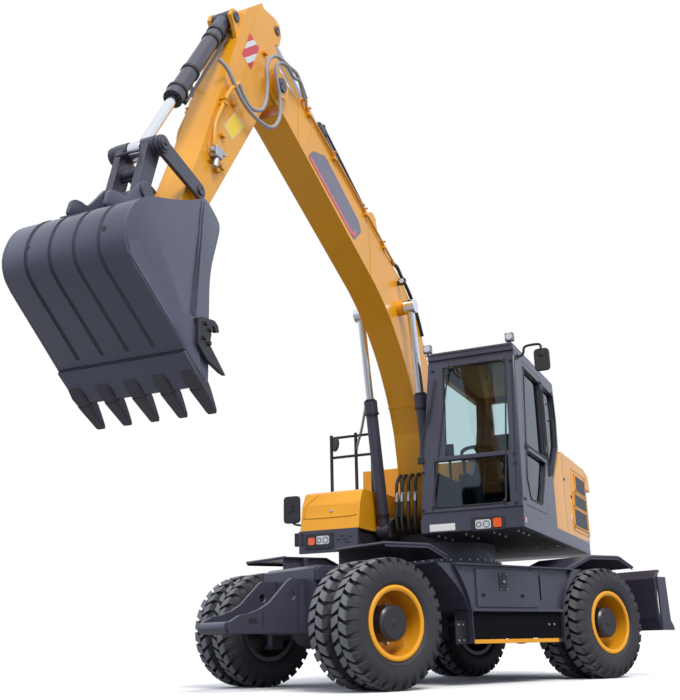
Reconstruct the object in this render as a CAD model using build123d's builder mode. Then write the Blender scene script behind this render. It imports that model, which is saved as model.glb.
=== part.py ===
from build123d import *
import os
from math import hypot

# Wheeled excavator in its parked pose, millimetres.
# Frame: +X forward along the undercarriage, +Y to its left, +Z up.
# The origin is on the ground under the slewing axis.
# The upper structure is drawn facing +X and then turned by SLEW about +Z.

SLEW = 26.87
BOOM_Y = -160.0

# Wheels
WHEELBASE = 2800.0
FRONT_AXLE_X = 1750.0
REAR_AXLE_X = FRONT_AXLE_X - WHEELBASE
TYRE_R = 520.0
TYRE_W = 270.0
OUTER_TYRE_Y = 1055.0
TWIN_PITCH = 300.0
BEAD_R = 270.0
RIM_FLANGE_R = 296.0
RIM_W = 226.0
RIM_WALL = 16.0
HUB_R = 145.0
HUB_FACE_Y = 1137.0
DISC_Y = 870.0
SPINDLE_END_Y = 910.0
SPINDLE_R = 60.0
KINGPIN_Y = 600.0
FIT = 0.3

# Undercarriage
FRAME_HALF_W = 380.0
FRAME_TOP_Z = 1030.0
FRAME_LOW_Z = 630.0
AXLE_CLEAR_Z = 740.0
FRAME_FRONT_X = 1990.0
FRAME_REAR_X = -1380.0
BOX_Y = 1080.0
STEP_Z = 346.0
STEP_T = 35.0
STEER_X = FRONT_AXLE_X - 215.0
STEER_Z = 435.0
STEER_TIP_Y = KINGPIN_Y - 25.0
SHAFT_Z = TYRE_R + 25.0
FENDER_TOP_Z = 1178.0
FENDER_T = 12.0
FENDER_IN_Y = 390.0
FENDER_OUT_Y = 1050.0
RING_R = 500.0
RING_TOP_Z = 1300.0
RING_GAP = 0.3
AXLE_R = 75.0
DIFF_R = 185.0

# Dozer blade on its parallel linkage, side view
BLADE_HALF_W = 1200.0
BLADE_X = -1880.0
BLADE_LOW_Z = 440.0
BLADE_TOP_Z = 1044.0
BLADE_ARM_Y = 360.0
BLADE_LIFT_Y = 150.0
LOW_PIVOT = (-1430.0, 470.0)
TOP_PIVOT = (-1430.0, 740.0)
LINK_RUN = (-370.0, 170.0)
BLADE_LIFT_FOOT = (-1425.0, 930.0)
BLADE_LIFT_EYE = (-1615.0, 555.0)
BLADE_TUBE_RUN = 292.0
BLADE_TUBE_DROP = 16.0
BLADE_TUBE_R = 22.0

# Upper structure
DECK_Z = 1431.0
SKIRT_LOW_Z = 1308.0
HOUSE_HALF_W = 1140.0
CAB_FRONT_X = 1244.0
RIGHT_FRONT_X = 1090.0
TAIL_X = -2170.0
CAB_RIGHT_Y = 190.0
BOX_LEFT_Y = -512.0
CAB_TOP_Z = 3010.0
WALL = 60.0
DOOR_GAP = 6.0
HINGE_X = 88.0
HINGE_OUT = 12.0
HINGE_Y = HOUSE_HALF_W + HINGE_OUT
HOOD_TOP_Z = 2290.0
EXHAUST_R = 55.0
EXHAUST_BORE_R = 47.0
EXHAUST_BORE_DEPTH = 250.0
EXHAUST_H = 330.0
FOOT_PLATE_GAP = 165.0
FOOT_PLATE_T = 30.0

# Pins in the side view, as x and z in the frame of the upper structure
BOOM_FOOT = (250.0, 1720.0)
LIFT_FOOT = (600.0, 1435.0)
LIFT_EYE = (1049.0, 3583.0)
ARM_PIVOT = (3610.0, 4655.0)
CROWD_FOOT = (1550.0, 4355.0)
CROWD_EYE = (3515.0, 5265.0)
CURL_FOOT = (4192.0, 4938.0)
IDLER_PIN = (4722.0, 3207.0)
BUCKET_PIN = (4858.0, 2843.0)
IDLER_RUN = (430.0, 121.0)
EAR_RUN = (396.0, 120.0)
LINK_TOP = (IDLER_PIN[0] + IDLER_RUN[0], IDLER_PIN[1] + IDLER_RUN[1])
LINK_LOW = (BUCKET_PIN[0] + EAR_RUN[0], BUCKET_PIN[1] + EAR_RUN[1])

# Boom, arm and bucket
BOOM_HALF_W = 145.0
ARM_HALF_W = 120.0
ARM_FIT = 6.0
BUCKET_HALF_W = 450.0
BUCKET_WALL = 25.0
LIFT_SPREAD = 270.0


def side_sketch_plane(y):
    """Sketch plane of a side profile: sketch x is forward, sketch y is up, extrusion runs to -Y."""
    return Plane(origin=(0, y, 0), x_dir=(1, 0, 0), z_dir=(0, -1, 0))


def plate(outline, y_low, y_high, mode=Mode.ADD):
    """Plate with a straight-sided side profile between two lateral planes."""
    with BuildSketch(side_sketch_plane(y_high)) as profile:
        with BuildLine():
            Polyline(*outline, close=True)
        make_face()
    extrude(profile.sketch, amount=y_high - y_low, mode=mode)


def cross_bar(centre, radius, y_low, y_high, mode=Mode.ADD):
    """Round bar along Y at a point of the side view."""
    with BuildSketch(side_sketch_plane(y_high)) as profile:
        with Locations(centre):
            Circle(radius)
    extrude(profile.sketch, amount=y_high - y_low, mode=mode)


def rod(start, end, radius, mode=Mode.ADD):
    """Round bar between two points."""
    start = Vector(*start)
    run = Vector(*end) - start
    with BuildSketch(Plane(origin=start, z_dir=run)) as section:
        Circle(radius)
    extrude(section.sketch, amount=run.length, mode=mode)


def block(low, high, mode=Mode.ADD):
    """Box between its lowest and highest corners."""
    centre = tuple((a + b) / 2 for a, b in zip(low, high))
    size = [b - a for a, b in zip(low, high)]
    with Locations(centre):
        Box(*size, mode=mode)


def link_outline(first, first_r, second, second_r, y_low, y_high, mode=Mode.ADD):
    """Flat link: the hull of a round end at each of two pins."""
    with BuildSketch(side_sketch_plane(y_high)) as profile:
        with Locations(first):
            Circle(first_r)
        with Locations(second):
            Circle(second_r)
        make_hull()
    extrude(profile.sketch, amount=y_high - y_low, mode=mode)


def along(first, second, distance):
    """Point of the side view at a distance from the first pin towards the second."""
    length = hypot(second[0] - first[0], second[1] - first[1])
    share = distance / length
    return (first[0] + share * (second[0] - first[0]), first[1] + share * (second[1] - first[1]))


def at_y(point, y):
    return (point[0], y, point[1])


def save(piece, name, angle=0.0):
    """Turns a piece into its parked place and writes it."""
    piece.part = piece.part.rotate(Axis.Z, angle)
    piece.part.label = name
    export_step(piece.part, f"parts/{name}.step")


os.makedirs("parts", exist_ok=True)

# Undercarriage frame: box beam with the front bracket and the blade's brackets
frame_profile = [
    (FRAME_FRONT_X, 460), (FRAME_FRONT_X, 1000), (FRAME_FRONT_X - 60, FRAME_TOP_Z),
    (FRAME_REAR_X, FRAME_TOP_Z), (FRAME_REAR_X, 420), (FRAME_REAR_X + 80, 420),
    (FRAME_REAR_X + 80, AXLE_CLEAR_Z), (REAR_AXLE_X + 260, AXLE_CLEAR_Z),
    (REAR_AXLE_X + 360, FRAME_LOW_Z), (FRONT_AXLE_X - 360, FRAME_LOW_Z),
    (FRONT_AXLE_X - 260, AXLE_CLEAR_Z), (FRAME_FRONT_X - 50, AXLE_CLEAR_Z),
    (FRAME_FRONT_X - 50, 460),
]
BRACKET_Y = 240.0
BRACKET_T = 30.0
TUBE_R = 47.0
TUBE_AT = (2736.0, 515.0)
bracket_profile = [
    (FRAME_FRONT_X, 466), (2735, 466), (2760, 500), (2750, 556), (2646, 611), (2548, 628), (2449, 660),
    (2349, 718), (2246, 818), (2160, 900), (2120, 921), (FRAME_FRONT_X, 921),
]
BRACKET_HOLE = (2120.0, 774.0)
BRACKET_HOLE_R = 35.0
with BuildPart() as chassis_frame:
    plate(frame_profile, -FRAME_HALF_W, FRAME_HALF_W)
    for side in (1, -1):
        low = min(side * (BRACKET_Y - BRACKET_T), side * BRACKET_Y)
        plate(bracket_profile, low, low + BRACKET_T)
        cross_bar(BRACKET_HOLE, BRACKET_HOLE_R, low, low + BRACKET_T, mode=Mode.SUBTRACT)
        low = min(side * (FRAME_HALF_W - 10), side * (FRAME_HALF_W + 30))
        plate([(1890, 900), (1975, 900), (1975, 990), (1930, 1020), (1890, 1020)], low, low + 40)
    cross_bar(TUBE_AT, TUBE_R, BRACKET_T - BRACKET_Y, BRACKET_Y - BRACKET_T)
    for side in (1, -1):
        low, high = sorted((side * 300, side * 420))
        block((FRAME_REAR_X, low, 430), (FRAME_REAR_X + 40, high, 960))
        for y in (BLADE_ARM_Y - 56, BLADE_ARM_Y + 30):
            low, high = sorted((side * y, side * (y + 26)))
            plate([(LOW_PIVOT[0] - 45, 425), (FRAME_REAR_X, 425), (FRAME_REAR_X, 800), (LOW_PIVOT[0] - 45, 800)], low, high)
        low, high = sorted((side * (BLADE_ARM_Y - 40), side * (BLADE_ARM_Y + 40)))
        for pivot in (LOW_PIVOT, TOP_PIVOT):
            cross_bar(pivot, 20, low, high)
        for y in (BLADE_LIFT_Y - 60, BLADE_LIFT_Y + 48):
            low, high = sorted((side * y, side * (y + 12)))
            plate([(FRAME_REAR_X, 860), (FRAME_REAR_X, 1000), (-1440, 980), (-1465, 940), (-1460, 890)], low, high)
        low, high = sorted((side * (BLADE_LIFT_Y - 52), side * (BLADE_LIFT_Y + 52)))
        cross_bar(BLADE_LIFT_FOOT, 20, low, high)

# Side boxes between the wheels, with their doors
box_profile = [(-585, 1020), (945, 1020), (818, FRAME_LOW_Z), (-400, FRAME_LOW_Z)]
DOOR_T = 14.0
ARCH_IN_Y = 620.0
REAR_ARCH_MIRROR = 418.0
front_arch = [(1195, 1022), (1108, 960), (970, 840), (882, 740), (842, 640), (818, FRAME_LOW_Z), (945, 1020)]
rear_arch = [(REAR_ARCH_MIRROR - x, z) for x, z in front_arch]
with BuildPart() as side_boxes:
    for side in (1, -1):
        low, high = sorted((side * ARCH_IN_Y, side * BOX_Y))
        for arch in (front_arch, rear_arch):
            plate(arch, low, high)
    for side in (1, -1):
        plate(box_profile, min(side * FRAME_HALF_W, side * BOX_Y), max(side * FRAME_HALF_W, side * BOX_Y))
        low = min(side * BOX_Y, side * (BOX_Y + DOOR_T))
        block((-70, low, 655), (730, low + DOOR_T, 985))

# Steps: end plates and a tread bar
STEP_FRONT_X = 818.0
STEP_REAR_X = -400.0
STEP_IN_Y = 880.0
with BuildPart() as steps:
    for side in (1, -1):
        low, high = sorted((side * STEP_IN_Y, side * BOX_Y))
        for x in (STEP_FRONT_X - 12, STEP_REAR_X):
            block((x, low, STEP_Z + STEP_T), (x + 12, high, FRAME_LOW_Z))
        block((STEP_REAR_X, low, STEP_Z), (STEP_FRONT_X, high, STEP_Z + STEP_T))

# Fenders on their struts
FENDER_STRUT = 40.0
front_fender = [(1746, FENDER_TOP_Z - 8), (1254, FENDER_TOP_Z), (1032, FENDER_TOP_Z - 88)]
rear_fender = [(-617, FENDER_TOP_Z - 140), (-982, FENDER_TOP_Z - 10), (-1448, FENDER_TOP_Z), (-1672, FENDER_TOP_Z - 96)]


def strip(points, thickness):
    """Closed outline of a bent sheet: the line and the same line lowered."""
    return list(points) + [(x, z - thickness) for x, z in reversed(points)]


with BuildPart() as fenders:
    for side in (1, -1):
        low, high = sorted((side * FENDER_IN_Y, side * FENDER_OUT_Y))
        for line in (front_fender, rear_fender):
            plate(strip(line, FENDER_T), low, high)
        low, high = sorted((side * (FRAME_HALF_W - 10), side * (FRAME_HALF_W + 50)))
        for x in (1500, -1300):
            top = FENDER_TOP_Z - FENDER_T - 5
            block((x, low, FRAME_TOP_Z), (x + FENDER_STRUT, high, top))

# Slewing ring
with BuildPart() as slew_ring:
    with BuildSketch(Plane.XY.offset(FRAME_TOP_Z)):
        Circle(RING_R + 60)
    extrude(amount=90)
    with BuildSketch(Plane.XY.offset(FRAME_TOP_Z + 90)):
        Circle(RING_R)
    extrude(amount=RING_TOP_Z - FRAME_TOP_Z - 90)

# Axles: a steered front axle with yokes and a rigid rear axle
YOKE_Z = 155.0
YOKE_T = 30.0
with BuildPart() as axles:
    for x, beam_end in ((FRONT_AXLE_X, KINGPIN_Y - 80), (REAR_AXLE_X, OUTER_TYRE_Y - TYRE_W / 2 - 90)):
        cross_bar((x, TYRE_R), AXLE_R, -beam_end, beam_end)
        with Locations((x, 0, TYRE_R)):
            Sphere(DIFF_R)
    for side in (1, -1):
        low, high = sorted((side * (KINGPIN_Y - 90), side * (KINGPIN_Y - 70)))
        block((FRONT_AXLE_X - 60, low, TYRE_R - YOKE_Z - YOKE_T), (FRONT_AXLE_X + 60, high, TYRE_R + YOKE_Z + YOKE_T))
        low, high = sorted((side * (KINGPIN_Y - 90), side * (KINGPIN_Y + 50)))
        for z in (TYRE_R + YOKE_Z, TYRE_R - YOKE_Z - YOKE_T):
            block((FRONT_AXLE_X - 55, low, z), (FRONT_AXLE_X + 55, high, z + YOKE_T))
        rear_end = OUTER_TYRE_Y - TYRE_W / 2 - 90
        low, high = sorted((side * rear_end, side * SPINDLE_END_Y))
        cross_bar((REAR_AXLE_X, TYRE_R), SPINDLE_R, low, high)
        low, high = sorted((side * 260, side * 360))
        block((REAR_AXLE_X - 90, low, TYRE_R + 40), (REAR_AXLE_X + 90, high, AXLE_CLEAR_Z))
    block((FRONT_AXLE_X - 170, -110, TYRE_R + 20), (FRONT_AXLE_X + 170, 110, AXLE_CLEAR_Z))
    cross_bar((STEER_X, STEER_Z), 42, -220, 220)
    for side in (1, -1):
        low, high = sorted((side * 110, side * 140))
        block((STEER_X, low, STEER_Z - 30), (FRONT_AXLE_X - 20, high, STEER_Z + 60))
    cross_bar((STEER_X, STEER_Z), 22 + FIT, -230, 230, mode=Mode.SUBTRACT)

# Driveline: transfer gearbox and two shafts
GEARBOX_X = 350.0
with BuildPart() as driveline:
    block((GEARBOX_X - 170, -150, 400), (GEARBOX_X + 170, 150, FRAME_LOW_Z))
    rod((GEARBOX_X + 170, 0, SHAFT_Z), (FRONT_AXLE_X - DIFF_R - 2, 0, SHAFT_Z), 35)
    rod((GEARBOX_X - 170, 0, SHAFT_Z), (REAR_AXLE_X + DIFF_R + 2, 0, SHAFT_Z), 35)

# Steering rod through the fixed steering cylinder
with BuildPart() as steering_rod:
    cross_bar((STEER_X, STEER_Z), 22, -480, 480)
    for side in (1, -1):
        low, high = sorted((side * 460, side * 500))
        block((STEER_X - 30, low, STEER_Z - 30), (STEER_X + 30, high, STEER_Z + 60))
        low, high = sorted((side * 500, side * STEER_TIP_Y))
        block((STEER_X - 30, low, STEER_Z + 30), (STEER_X + 30, high, STEER_Z + 60))
        with Locations((STEER_X, side * STEER_TIP_Y, STEER_Z + 45)):
            Cylinder(29, 30)

# Knuckles: kingpin boss, spindle and steering arm
for side, name in ((1, "left"), (-1, "right")):
    with BuildPart() as knuckle:
        with Locations((FRONT_AXLE_X, side * KINGPIN_Y, TYRE_R)):
            Cylinder(55, 2 * YOKE_Z - 2 * FIT)
        low, high = sorted((side * KINGPIN_Y, side * SPINDLE_END_Y))
        cross_bar((FRONT_AXLE_X, TYRE_R), SPINDLE_R, low, high)
        low, high = sorted((side * (KINGPIN_Y - 25), side * (KINGPIN_Y + 25)))
        block((STEER_X + 30, low, STEER_Z - 20), (FRONT_AXLE_X - 20, high, STEER_Z + 20))
        with Locations((STEER_X, side * STEER_TIP_Y, STEER_Z)):
            Cylinder(34, 40)
        block((STEER_X, low, STEER_Z - 20), (STEER_X + 40, high, STEER_Z + 20))
    save(knuckle, f"knuckle_{name}")

# Wheels: two tyres and the twin rim with its hub on each corner
TREAD_HALF_W = 105.0
BULGE_R = 400.0


def tyre_profile(y):
    """Section of one tyre, as y and radius."""
    half = TYRE_W / 2
    return [
        (y - 100, BEAD_R + FIT), (y - 100, RIM_FLANGE_R + 3), (y - half + 6, 330), (y - half, BULGE_R), (y - half + 8, TYRE_R - 25),
        (y - TREAD_HALF_W, TYRE_R), (y + TREAD_HALF_W, TYRE_R), (y + half - 8, TYRE_R - 25),
        (y + half, BULGE_R), (y + half - 6, 330), (y + 100, RIM_FLANGE_R + 3), (y + 100, BEAD_R + FIT),
    ]


def rim_profile(side):
    """Section of the twin rim with its disc and hub, as y and radius."""
    outer = OUTER_TYRE_Y
    inner = OUTER_TYRE_Y - TWIN_PITCH
    half = RIM_W / 2
    wall = BEAD_R - RIM_WALL
    lip = 12
    disc = DISC_Y
    points = [
        (disc, 0.0), (disc, wall), (inner - half, wall), (inner - half, RIM_FLANGE_R),
        (inner - half + lip, RIM_FLANGE_R), (inner - half + lip, BEAD_R), (inner + half - lip, BEAD_R),
        (inner + half - lip, RIM_FLANGE_R), (inner + half, RIM_FLANGE_R), (inner + half, BEAD_R),
        (outer - half, BEAD_R), (outer - half, RIM_FLANGE_R), (outer - half + lip, RIM_FLANGE_R),
        (outer - half + lip, BEAD_R), (outer + half - lip, BEAD_R), (outer + half - lip, RIM_FLANGE_R),
        (outer + half, RIM_FLANGE_R), (outer + half, wall), (disc + 25, wall), (disc + 25, HUB_R),
        (HUB_FACE_Y - 15, HUB_R), (HUB_FACE_Y, HUB_R - 15), (HUB_FACE_Y, 0.0),
    ]
    return [(side * y, r) for y, r in points]


def wheel_plane(axle_x):
    """Sketch plane through a wheel's axis: sketch x is +Y, sketch y is up from the axis."""
    return Plane(origin=(axle_x, 0, TYRE_R), x_dir=(0, 1, 0), z_dir=(1, 0, 0))


for axle_x, end in ((FRONT_AXLE_X, "front"), (REAR_AXLE_X, "rear")):
    axis = Axis((axle_x, 0, TYRE_R), (0, 1, 0))
    for side, name in ((1, "left"), (-1, "right")):
        with BuildPart() as tyres:
            for y in (OUTER_TYRE_Y, OUTER_TYRE_Y - TWIN_PITCH):
                with BuildSketch(wheel_plane(axle_x)) as section:
                    with BuildLine():
                        Polyline(*tyre_profile(side * y), close=True)
                    make_face()
                revolve(section.sketch, axis=axis)
        save(tyres, f"tyres_{end}_{name}")
        with BuildPart() as rims:
            with BuildSketch(wheel_plane(axle_x)) as section:
                with BuildLine():
                    Polyline(*rim_profile(side), close=True)
                make_face()
            revolve(section.sketch, axis=axis)
            low, high = sorted((side * (DISC_Y - 5), side * (SPINDLE_END_Y + 5)))
            cross_bar((axle_x, TYRE_R), SPINDLE_R + FIT, low, high, mode=Mode.SUBTRACT)
        save(rims, f"rims_{end}_{name}")

save(chassis_frame, "chassis_frame")
save(side_boxes, "side_boxes")
save(steps, "steps")
save(fenders, "fenders")
save(slew_ring, "slew_ring")
save(axles, "axles")
save(driveline, "driveline")
save(steering_rod, "steering_rod")

# Dozer blade on a parallel linkage behind the rear wheels
low_eye = (LOW_PIVOT[0] + LINK_RUN[0], LOW_PIVOT[1] + LINK_RUN[1])
top_eye = (TOP_PIVOT[0] + LINK_RUN[0], TOP_PIVOT[1] + LINK_RUN[1])
with BuildPart() as blade:
    with BuildSketch(side_sketch_plane(BLADE_HALF_W - 20)) as sheet:
        with BuildLine():
            Line((BLADE_X, BLADE_LOW_Z), (BLADE_X - 40, BLADE_LOW_Z))
            ThreePointArc((BLADE_X - 40, BLADE_LOW_Z), (BLADE_X + 10, 750), (BLADE_X - 60, BLADE_TOP_Z))
            Line((BLADE_X - 60, BLADE_TOP_Z), (BLADE_X - 20, BLADE_TOP_Z))
            Line((BLADE_X - 20, BLADE_TOP_Z), (BLADE_X + 35, 960))
            Line((BLADE_X + 35, 960), (BLADE_X + 35, 560))
            Line((BLADE_X + 35, 560), (BLADE_X, BLADE_LOW_Z))
        make_face()
    extrude(sheet.sketch, amount=2 * BLADE_HALF_W - 40)
    wing = [(BLADE_X, BLADE_LOW_Z), (-2085, BLADE_LOW_Z), (-2075, 480), (-2033, 540), (-2020, 975), (-1950, 975), (BLADE_X, 975)]
    for side in (1, -1):
        low, high = sorted((side * (BLADE_HALF_W - 20), side * BLADE_HALF_W))
        plate(wing, low, high)
        for y in (BLADE_ARM_Y - 62, BLADE_ARM_Y + 37):
            low, high = sorted((side * y, side * (y + 25)))
            plate([(BLADE_X + 30, 560), (low_eye[0] + 55, 580), (low_eye[0] + 55, 960), (BLADE_X + 30, 960)], low, high)
        for eye in (low_eye, top_eye):
            low, high = sorted((side * (BLADE_ARM_Y - 40), side * (BLADE_ARM_Y + 40)))
            cross_bar(eye, 20, low, high)
save(blade, "blade")

with BuildPart() as blade_arms:
    for side in (1, -1):
        low, high = sorted((side * (BLADE_ARM_Y - 25), side * (BLADE_ARM_Y + 25)))
        link_outline(LOW_PIVOT, 50, low_eye, 42, low, high)
        for eye in (LOW_PIVOT, low_eye):
            cross_bar(eye, 20 + FIT, low, high, mode=Mode.SUBTRACT)
    tube_x, tube_z = along(LOW_PIVOT, low_eye, BLADE_TUBE_RUN)
    tube_at = (tube_x, tube_z - BLADE_TUBE_DROP)
    cross_bar(tube_at, BLADE_TUBE_R, -BLADE_ARM_Y, BLADE_ARM_Y)
    for side in (1, -1):
        for y in (BLADE_LIFT_Y - 60, BLADE_LIFT_Y + 48):
            low, high = sorted((side * y, side * (y + 12)))
            link_outline(tube_at, 42, BLADE_LIFT_EYE, 40, low, high)
save(blade_arms, "blade_arms")

with BuildPart() as blade_links:
    for side in (1, -1):
        low, high = sorted((side * (BLADE_ARM_Y - 25), side * (BLADE_ARM_Y + 25)))
        link_outline(TOP_PIVOT, 40, top_eye, 36, low, high)
        for eye in (TOP_PIVOT, top_eye):
            cross_bar(eye, 20 + FIT, low, high, mode=Mode.SUBTRACT)
save(blade_links, "blade_links")


def barrel_solid(foot, eye, y, radius, length, rod_r, eye_r, eye_half, gland_r, gland_len):
    """Cylinder barrel from its foot pin towards the rod's eye, bored for the rod."""
    start = at_y(along(foot, eye, eye_r * 0.6), y)
    end = at_y(along(foot, eye, length), y)
    rod(start, end, radius)
    rod(at_y(along(foot, eye, length - gland_len), y), end, gland_r)
    cross_bar(foot, eye_r, y - eye_half, y + eye_half)
    rod(at_y(along(foot, eye, eye_r + 25), y), at_y(along(foot, eye, length + 5), y), rod_r + FIT, mode=Mode.SUBTRACT)


def rod_solid(foot, eye, y, rod_r, inside, eye_r, eye_half):
    """Piston rod with its eye, reaching back towards the foot by the length inside."""
    total = hypot(eye[0] - foot[0], eye[1] - foot[1])
    rod(at_y(along(foot, eye, total - inside), y), at_y(along(foot, eye, total - eye_r * 0.5), y), rod_r)
    cross_bar(eye, eye_r, y - eye_half, y + eye_half)


with BuildPart() as blade_barrels:
    for y in (BLADE_LIFT_Y, -BLADE_LIFT_Y):
        barrel_solid(BLADE_LIFT_FOOT, BLADE_LIFT_EYE, y, 38, 335, 20, 40, 42, 44, 50)
        cross_bar(BLADE_LIFT_FOOT, 20 + FIT, y - 43, y + 43, mode=Mode.SUBTRACT)
save(blade_barrels, "blade_barrels")
with BuildPart() as blade_rods:
    for y in (BLADE_LIFT_Y, -BLADE_LIFT_Y):
        rod_solid(BLADE_LIFT_FOOT, BLADE_LIFT_EYE, y, 20, 317, 32, 40)
save(blade_rods, "blade_rods")

# Upper frame: deck, skirts, boom foot plates and cylinder feet
FOOT_OUT = FOOT_PLATE_GAP + FOOT_PLATE_T
deck_outline = [
    (CAB_FRONT_X - 40, HOUSE_HALF_W - 40), (CAB_FRONT_X - 40, CAB_RIGHT_Y + 20), (420, CAB_RIGHT_Y + 20),
    (420, BOX_LEFT_Y - 20), (RIGHT_FRONT_X - 40, BOX_LEFT_Y - 20), (RIGHT_FRONT_X - 40, 40 - HOUSE_HALF_W),
    (TAIL_X + 400, 40 - HOUSE_HALF_W), (TAIL_X + 400, HOUSE_HALF_W - 40),
]
with BuildPart() as upper_frame:
    with BuildSketch(Plane.XY.offset(RING_TOP_Z + RING_GAP)) as deck:
        with BuildLine():
            Polyline(*deck_outline, close=True)
        make_face()
    extrude(deck.sketch, amount=100 - RING_GAP)
    foot_plate = [
        (-530, 1400), (420, 1400), (430, 1360), (560, 1345), (690, 1360), (700, 1500), (640, 1540), (420, 1600),
        (350, 1800), (290, 1860), (170, 1850), (-530, 1600),
    ]
    for side in (1, -1):
        low, high = sorted((BOOM_Y + side * FOOT_PLATE_GAP, BOOM_Y + side * FOOT_OUT))
        plate(foot_plate, low, high)
        low, high = sorted((BOOM_Y + side * FOOT_OUT, BOOM_Y + side * (LIFT_SPREAD + 64)))
        cross_bar(LIFT_FOOT, 40, low, high)
    cross_bar(BOOM_FOOT, 45, BOOM_Y - FOOT_PLATE_GAP, BOOM_Y + FOOT_PLATE_GAP)
save(upper_frame, "upper_frame", SLEW)

# Skirts round the deck
SKIRT_T = 40.0
with BuildPart() as skirts:
    block((CAB_FRONT_X - SKIRT_T, CAB_RIGHT_Y, SKIRT_LOW_Z), (CAB_FRONT_X, HOUSE_HALF_W, DECK_Z))
    block((TAIL_X + 400, HOUSE_HALF_W - SKIRT_T, SKIRT_LOW_Z), (CAB_FRONT_X - SKIRT_T, HOUSE_HALF_W, DECK_Z))
    block((RIGHT_FRONT_X - SKIRT_T, -HOUSE_HALF_W, 1215), (RIGHT_FRONT_X, BOX_LEFT_Y, DECK_Z))
    block((TAIL_X + 400, -HOUSE_HALF_W, SKIRT_LOW_Z), (RIGHT_FRONT_X - SKIRT_T, SKIRT_T - HOUSE_HALF_W, DECK_Z))
save(skirts, "skirts", SLEW)

# Counterweight
TAIL_ROUND = 260.0
with BuildPart() as counterweight:
    with BuildSketch(Plane.XY.offset(SKIRT_LOW_Z)) as plan:
        with BuildLine():
            Polyline((TAIL_X + 400, HOUSE_HALF_W), (TAIL_X, HOUSE_HALF_W - 60), (TAIL_X - 90, 0), (TAIL_X, 60 - HOUSE_HALF_W),
                     (TAIL_X + 400, -HOUSE_HALF_W), close=True)
        make_face()
    extrude(plan.sketch, amount=2050 - SKIRT_LOW_Z)
save(counterweight, "counterweight", SLEW)

# Hood over the engine, with grilles
HOOD_FRONT_X = -545.0
HOOD_REAR_X = TAIL_X + 402
HOOD_WALL = 30.0
hood_profile = [
    (HOOD_FRONT_X, DECK_Z), (HOOD_FRONT_X, HOOD_TOP_Z - 15), (HOOD_FRONT_X - 60, HOOD_TOP_Z), (-1870, HOOD_TOP_Z),
    (-2120, HOOD_TOP_Z - 55), (-2165, 2060),
    (HOOD_REAR_X, 2060), (HOOD_REAR_X, DECK_Z),
]
hood_inside = [
    (HOOD_FRONT_X - HOOD_WALL, DECK_Z - 1), (HOOD_FRONT_X - HOOD_WALL, 2245), (HOOD_REAR_X + HOOD_WALL, 2245),
    (HOOD_REAR_X + HOOD_WALL, DECK_Z - 1),
]
hood_wing = [(-135, DECK_Z), (-135, 1885), (HOOD_FRONT_X, 2265), (HOOD_FRONT_X, DECK_Z)]
with BuildPart() as hood:
    plate(hood_profile, -HOUSE_HALF_W, HOUSE_HALF_W)
    plate(hood_inside, HOOD_WALL - HOUSE_HALF_W, HOUSE_HALF_W - HOOD_WALL, mode=Mode.SUBTRACT)
    plate(hood_wing, CAB_RIGHT_Y, HOUSE_HALF_W)
save(hood, "hood", SLEW)

grille_rows = [
    # z low, z high, x rear, x front
    (1960, 2120, -1800, -1250),
    (1780, 1900, -1800, -1120),
    (1560, 1730, -1760, -1050),
]
with BuildPart() as grilles:
    for z_low, z_high, x_rear, x_front in grille_rows:
        block((x_rear, HOUSE_HALF_W, z_low), (x_front, HOUSE_HALF_W + 8, z_high))
save(grilles, "grilles", SLEW)

with BuildPart() as engine_block:
    block((-1600, -500, 1400), (-900, 500, 2080))
save(engine_block, "engine_block", SLEW)

with BuildPart() as exhaust:
    rod((-1250, -700, HOOD_TOP_Z), (-1250, -700, HOOD_TOP_Z + EXHAUST_H), EXHAUST_R)
    rod((-1250, -700, HOOD_TOP_Z + EXHAUST_H - EXHAUST_BORE_DEPTH), (-1250, -700, HOOD_TOP_Z + EXHAUST_H), EXHAUST_BORE_R,
        mode=Mode.SUBTRACT)
    rod((-900, -620, HOOD_TOP_Z), (-900, -620, HOOD_TOP_Z + 200), 90)
save(exhaust, "exhaust", SLEW)

# Right-hand body: front box and tank beside the boom
RIGHT_TOP_Z = 1826.0
right_profile = [
    (1060, DECK_Z), (1010, 1685), (945, RIGHT_TOP_Z - 26), (900, RIGHT_TOP_Z), (520, RIGHT_TOP_Z), (480, RIGHT_TOP_Z + 24),
    (-545, RIGHT_TOP_Z + 24), (-545, DECK_Z),
]
with BuildPart() as right_box:
    plate(right_profile, -HOUSE_HALF_W, BOX_LEFT_Y)
save(right_box, "right_box", SLEW)

# Cab: walls as thick as the real ones, windows cut
CAB_REAR_X = -130.0
CAB_BULGE_X = -540.0
CAB_FLOOR_T = 60.0
CAB_LEAN = 109.0
CAB_RIGHT_TOP_Y = 310.0
cab_side = [
    (CAB_FRONT_X, DECK_Z), (CAB_FRONT_X - CAB_LEAN, CAB_TOP_Z - WALL), (CAB_BULGE_X + 40, CAB_TOP_Z - WALL),
    (CAB_BULGE_X, 2620), (CAB_BULGE_X + 40, 2290), (CAB_REAR_X + 5, 1900), (CAB_REAR_X + 5, DECK_Z),
]
door_outer = [(1085, 1520), (1015, 2050), (858, 2915), (100, 2915), (100, 1900), (300, 1520)]
door_top_hole = [(948, 2090), (802, 2862), (165, 2862), (165, 2090)]
door_low_hole = [(955, 2040), (1000, 1760), (915, 1590), (470, 1590), (300, 1830), (190, 2040)]
rear_side_hole = [(35, 2870), (-440, 2870), (-475, 2620), (-435, 2315), (-90, 1950), (35, 1950)]


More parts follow.
